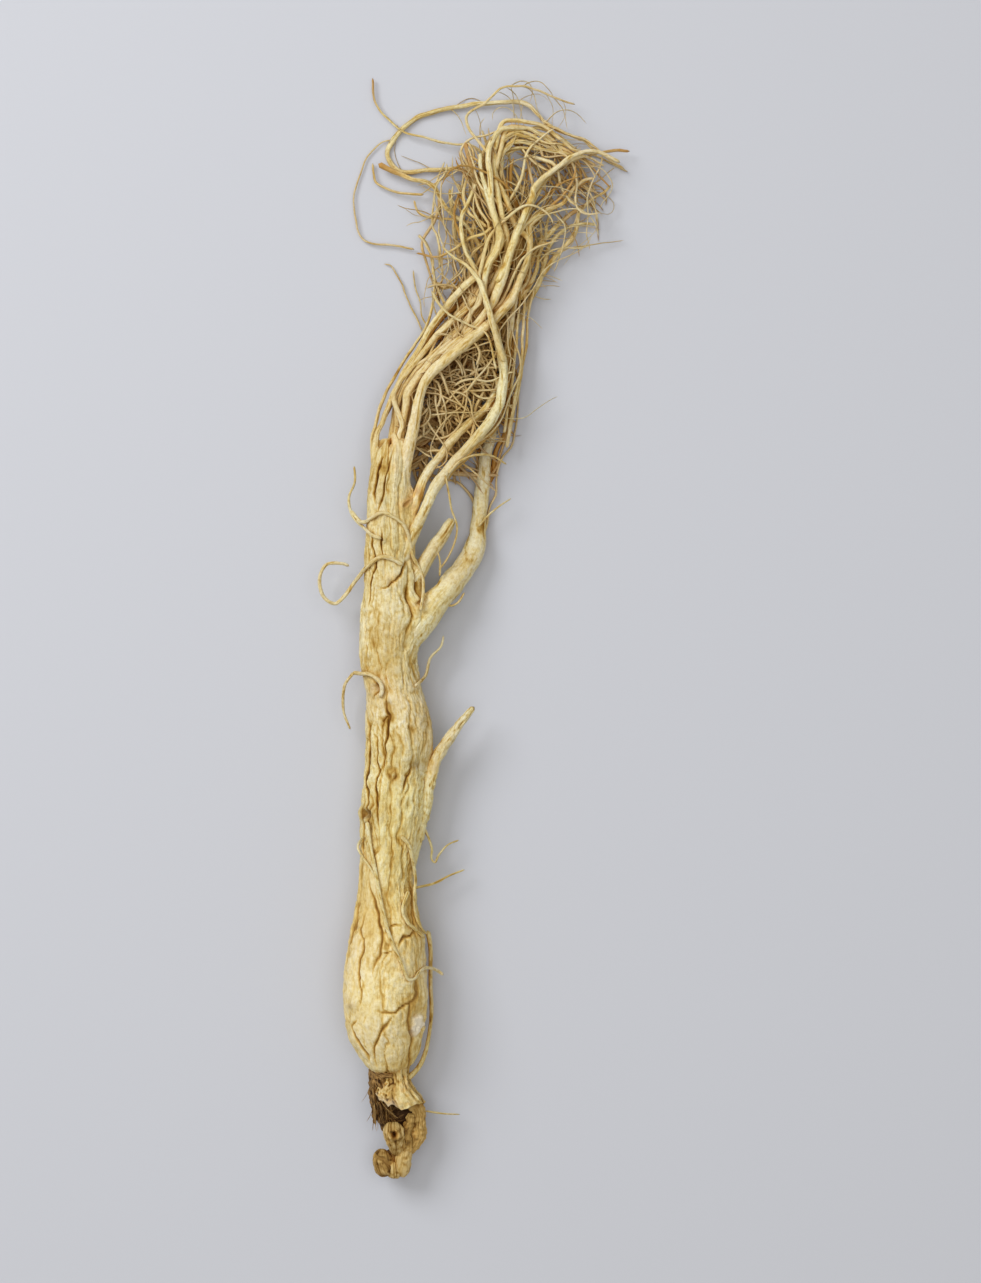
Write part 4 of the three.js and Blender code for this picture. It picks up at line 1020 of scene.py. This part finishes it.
# Beneath them, darker and richer in colour, as painted shade under the upper ones.
beneath = []
for number in range(40):
    first, last = int(draw.uniform(15, 40)), int(draw.uniform(55, 80))
    thick = draw.uniform(0.6, 1.2)
    lift = draw.uniform(-5, -2)
    route = companion(STEADY_PARENTS[number % 8], thick, (0, 3), lift, first, last)
    route = kept_inside(route, left=-3, right=27)
    if len(route) > 8:
        beneath.append([knot for knot in route if knot[1] < 178])
rootlets = beside + beneath

bm = new_skin_mesh()
for route in beside:
    thread(bm, route, sides=6, hollow=draw.uniform(-0.3, 0.0), gold=0.15 + 0.4 * draw.uniform() ** 2)
# Painted shade: those beneath are darker and more golden.
for route in beneath:
    thread(bm, route, sides=6, hollow=draw.uniform(0.2, 0.6), gold=draw.uniform(0.3, 0.65))
finished_piece(bm, "rootlets")

# ------------------------------------------------------------------------------------------------
# The finest hair roots, thin as thread: tangled among the rootlets, and matted into a mop between
# the strands and the side roots.

bm = new_skin_mesh()
for number in range(330):
    if draw.uniform() < 0.5:
        parent = rootlets[draw.integers(len(rootlets))]
        start, bearing = side_shoot(parent, 0.1, 0.9, (0.2, 1.2))[:2]
    else:
        parent = STEADY_PARENTS[draw.integers(len(STEADY_PARENTS))]
        start, bearing = side_shoot(parent, 0.35, 0.95, (0.3, 1.2))[:2]
    length, thick = draw.uniform(6, 18), draw.uniform(0.22, 0.38)
    high = draw.choice((5, 6, 9))
    hair = wandering(start, bearing, length, thick, 0.16, 0.05, high, flow=bearing, pull=0.06, keep=0.72)
    # One in five may stray out of the tuft.
    if number % 5:
        hair = kept_inside(hair)
    if len(hair) > 6 and hair[-1][1] > 104:
        thread(bm, hair, sides=3, hollow=draw.uniform(-0.3, 0.1), gold=0.15 + 0.3 * draw.uniform() ** 2)
# Along the outermost loops.
for number in range(18):
    parent = (STRANDS[3], thin_strands[11])[number % 2]
    start, bearing = side_shoot(parent, 0.5, 0.95, (0.1, 1.2))[:2]
    length, thick = draw.uniform(4, 12), draw.uniform(0.18, 0.3)
    hair = wandering(start, bearing, length, thick, 0.12, 0.05, 3, flow=bearing, pull=0.15, keep=0.4)
    thread(bm, hair, sides=3, hollow=draw.uniform(-0.2, 0.1), gold=0.2)
# The mop: a brown mat low down, darkened as painted shade, with paler curls over it. How many, the
# heights, the lengths, the thicknesses and how dark, where less than 0 is pale.
MOP = [
    (130, (0.1, 1.8), (8, 16), (0.9, 1.4), (-0.5, 0.0)),
    (70, (1.6, 3.8), (8, 16), (0.5, 0.8), (-0.6, -0.1)),
    (40, (3.0, 5.4), (8, 18), (0.4, 0.6), (-0.8, -0.3)),
    (70, (4.6, 7.8), (7, 20), (0.35, 0.7), (-0.9, -0.5)),
]
for count, heights, lengths, widths, shades in MOP:
    for number in range(count):
        t, low = draw.uniform(0, 1), draw.uniform(*heights)
        start = (8.0 + 12 * t + draw.normal(0, 2.2), 119 + 16 * t + draw.normal(0, 4.0), low + 0.4)
        bearing = draw.uniform(-math.pi, math.pi)
        length, thick, curl = draw.uniform(*lengths), draw.uniform(*widths), draw.uniform(0.08, 0.26)
        hair = wandering(start, bearing, length, thick, curl, low, low + 1.2, thin=0.4)
        hair = kept_inside(hair, left=0, right=27.5)
        if len(hair) > 4:
            # Painted shade: the lower ones are darker and more golden.
            hollow = draw.uniform(*shades)
            gold = draw.uniform(0.4, 0.7) if low < 4.2 else draw.uniform(0.25, 0.4)
            thread(bm, hair, 4, hollow, gold)
finished_piece(bm, "hair_roots")

# ------------------------------------------------------------------------------------------------
# Frayed tissue at the torn side of the rhizome, dark and stiff: shreds, and fibres like the end of
# an old brush.

draw = np.random.default_rng(7)
bm = new_skin_mesh()
# Shreds.
for number in range(40):
    t = draw.uniform(0, 1)
    start = (-2.8 + 3.2 * draw.uniform(0, 1), -13.6 - 8.0 * t, 6.2 + 3.2 * draw.uniform(0, 1))
    bearing = -math.pi / 2 + draw.normal(0.12, 0.15)
    length, thick = draw.uniform(2, 4.5), draw.uniform(0.5, 1.1)
    shred = wandering(start, bearing, length, thick, 0.05, 2.0, 9, thin=0.4)
    root_length(bm, shred[:4], seed=3000 + 10 * number, sides=8, spacing=0.4, folds=0.3, crowd=0.4,
                age=1.0, shade=draw.uniform(-0.1, 0.5), rough=0.6)
# Fibres.
for number in range(110):
    t = draw.uniform(0, 1)
    start = (-2.6 + 3.0 * draw.uniform(0, 1), -13.0 - 8.0 * t, 5.2 + 4.0 * draw.uniform(0, 1))
    bearing = -math.pi / 2 + draw.normal(0.25, 0.2)
    length, thick = draw.uniform(2, 4), draw.uniform(0.12, 0.26)
    fibre = wandering(start, bearing, length, thick, 0.08, 2.0, 9, thin=0.3)
    thread(bm, fibre[:5], sides=4, hollow=draw.uniform(0.1, 0.8), gold=0.0, age=1.0)
finished_piece(bm, "frayed_fibres")

# ------------------------------------------------------------------------------------------------
# The pale, matt table top, the soft light from a window and a ceiling, and the camera, straight
# above the root.

bm = bmesh.new()
bmesh.ops.create_grid(bm, x_segments=1, y_segments=1, size=1.5)
floor_mesh = bpy.data.meshes.new("table_top")
bm.to_mesh(floor_mesh)
bm.free()
floor = bpy.data.objects.new("table_top", floor_mesh)
bpy.context.scene.collection.objects.link(floor)
paint = bpy.data.materials.new("pale_table")
paint.use_nodes = True
coat = paint.node_tree.nodes["Principled BSDF"].inputs
coat["Base Color"].default_value = (0.55, 0.57, 0.63, 1)
coat["Roughness"].default_value = 0.8
floor_mesh.materials.append(paint)


def soft_light(name, place, turn, size, power):
    """A rectangular lamp: its place and size in metres, its turn in degrees and its power in watts."""
    lamp = bpy.data.lights.new(name, "AREA")
    lamp.shape = "RECTANGLE"
    lamp.size, lamp.size_y = size
    lamp.energy = power
    light = bpy.data.objects.new(name, lamp)
    light.location = place
    light.rotation_euler = [math.radians(v) for v in turn]
    bpy.context.scene.collection.objects.link(light)


soft_light("window", (-0.55, 0.55, 0.65), (-42, -35, 0), (0.5, 0.5), 6.0)
soft_light("ceiling", (0.1, 0.1, 0.95), (0, 0, 0), (0.9, 0.9), 3.2)

world = bpy.data.worlds.new("room")
world.use_nodes = True
air = world.node_tree.nodes["Background"].inputs
air["Color"].default_value = (1.0, 0.95, 0.86, 1)
air["Strength"].default_value = 0.42
bpy.context.scene.world = world

bpy.context.scene.view_settings.view_transform = "Standard"

VIEW_HEIGHT = 0.2694  # of the table, in metres, from the bottom of the view to its top
FOCUS = (0.022, 0.0755, 0.004)  # the middle of the view
view = bpy.data.cameras.new("camera")
view.lens = 85
view.sensor_fit = "VERTICAL"
view.sensor_height = 36
camera = bpy.data.objects.new("camera", view)
camera.location = (FOCUS[0], FOCUS[1], FOCUS[2] + VIEW_HEIGHT * view.lens / view.sensor_height)
bpy.context.scene.collection.objects.link(camera)
bpy.context.scene.camera = camera
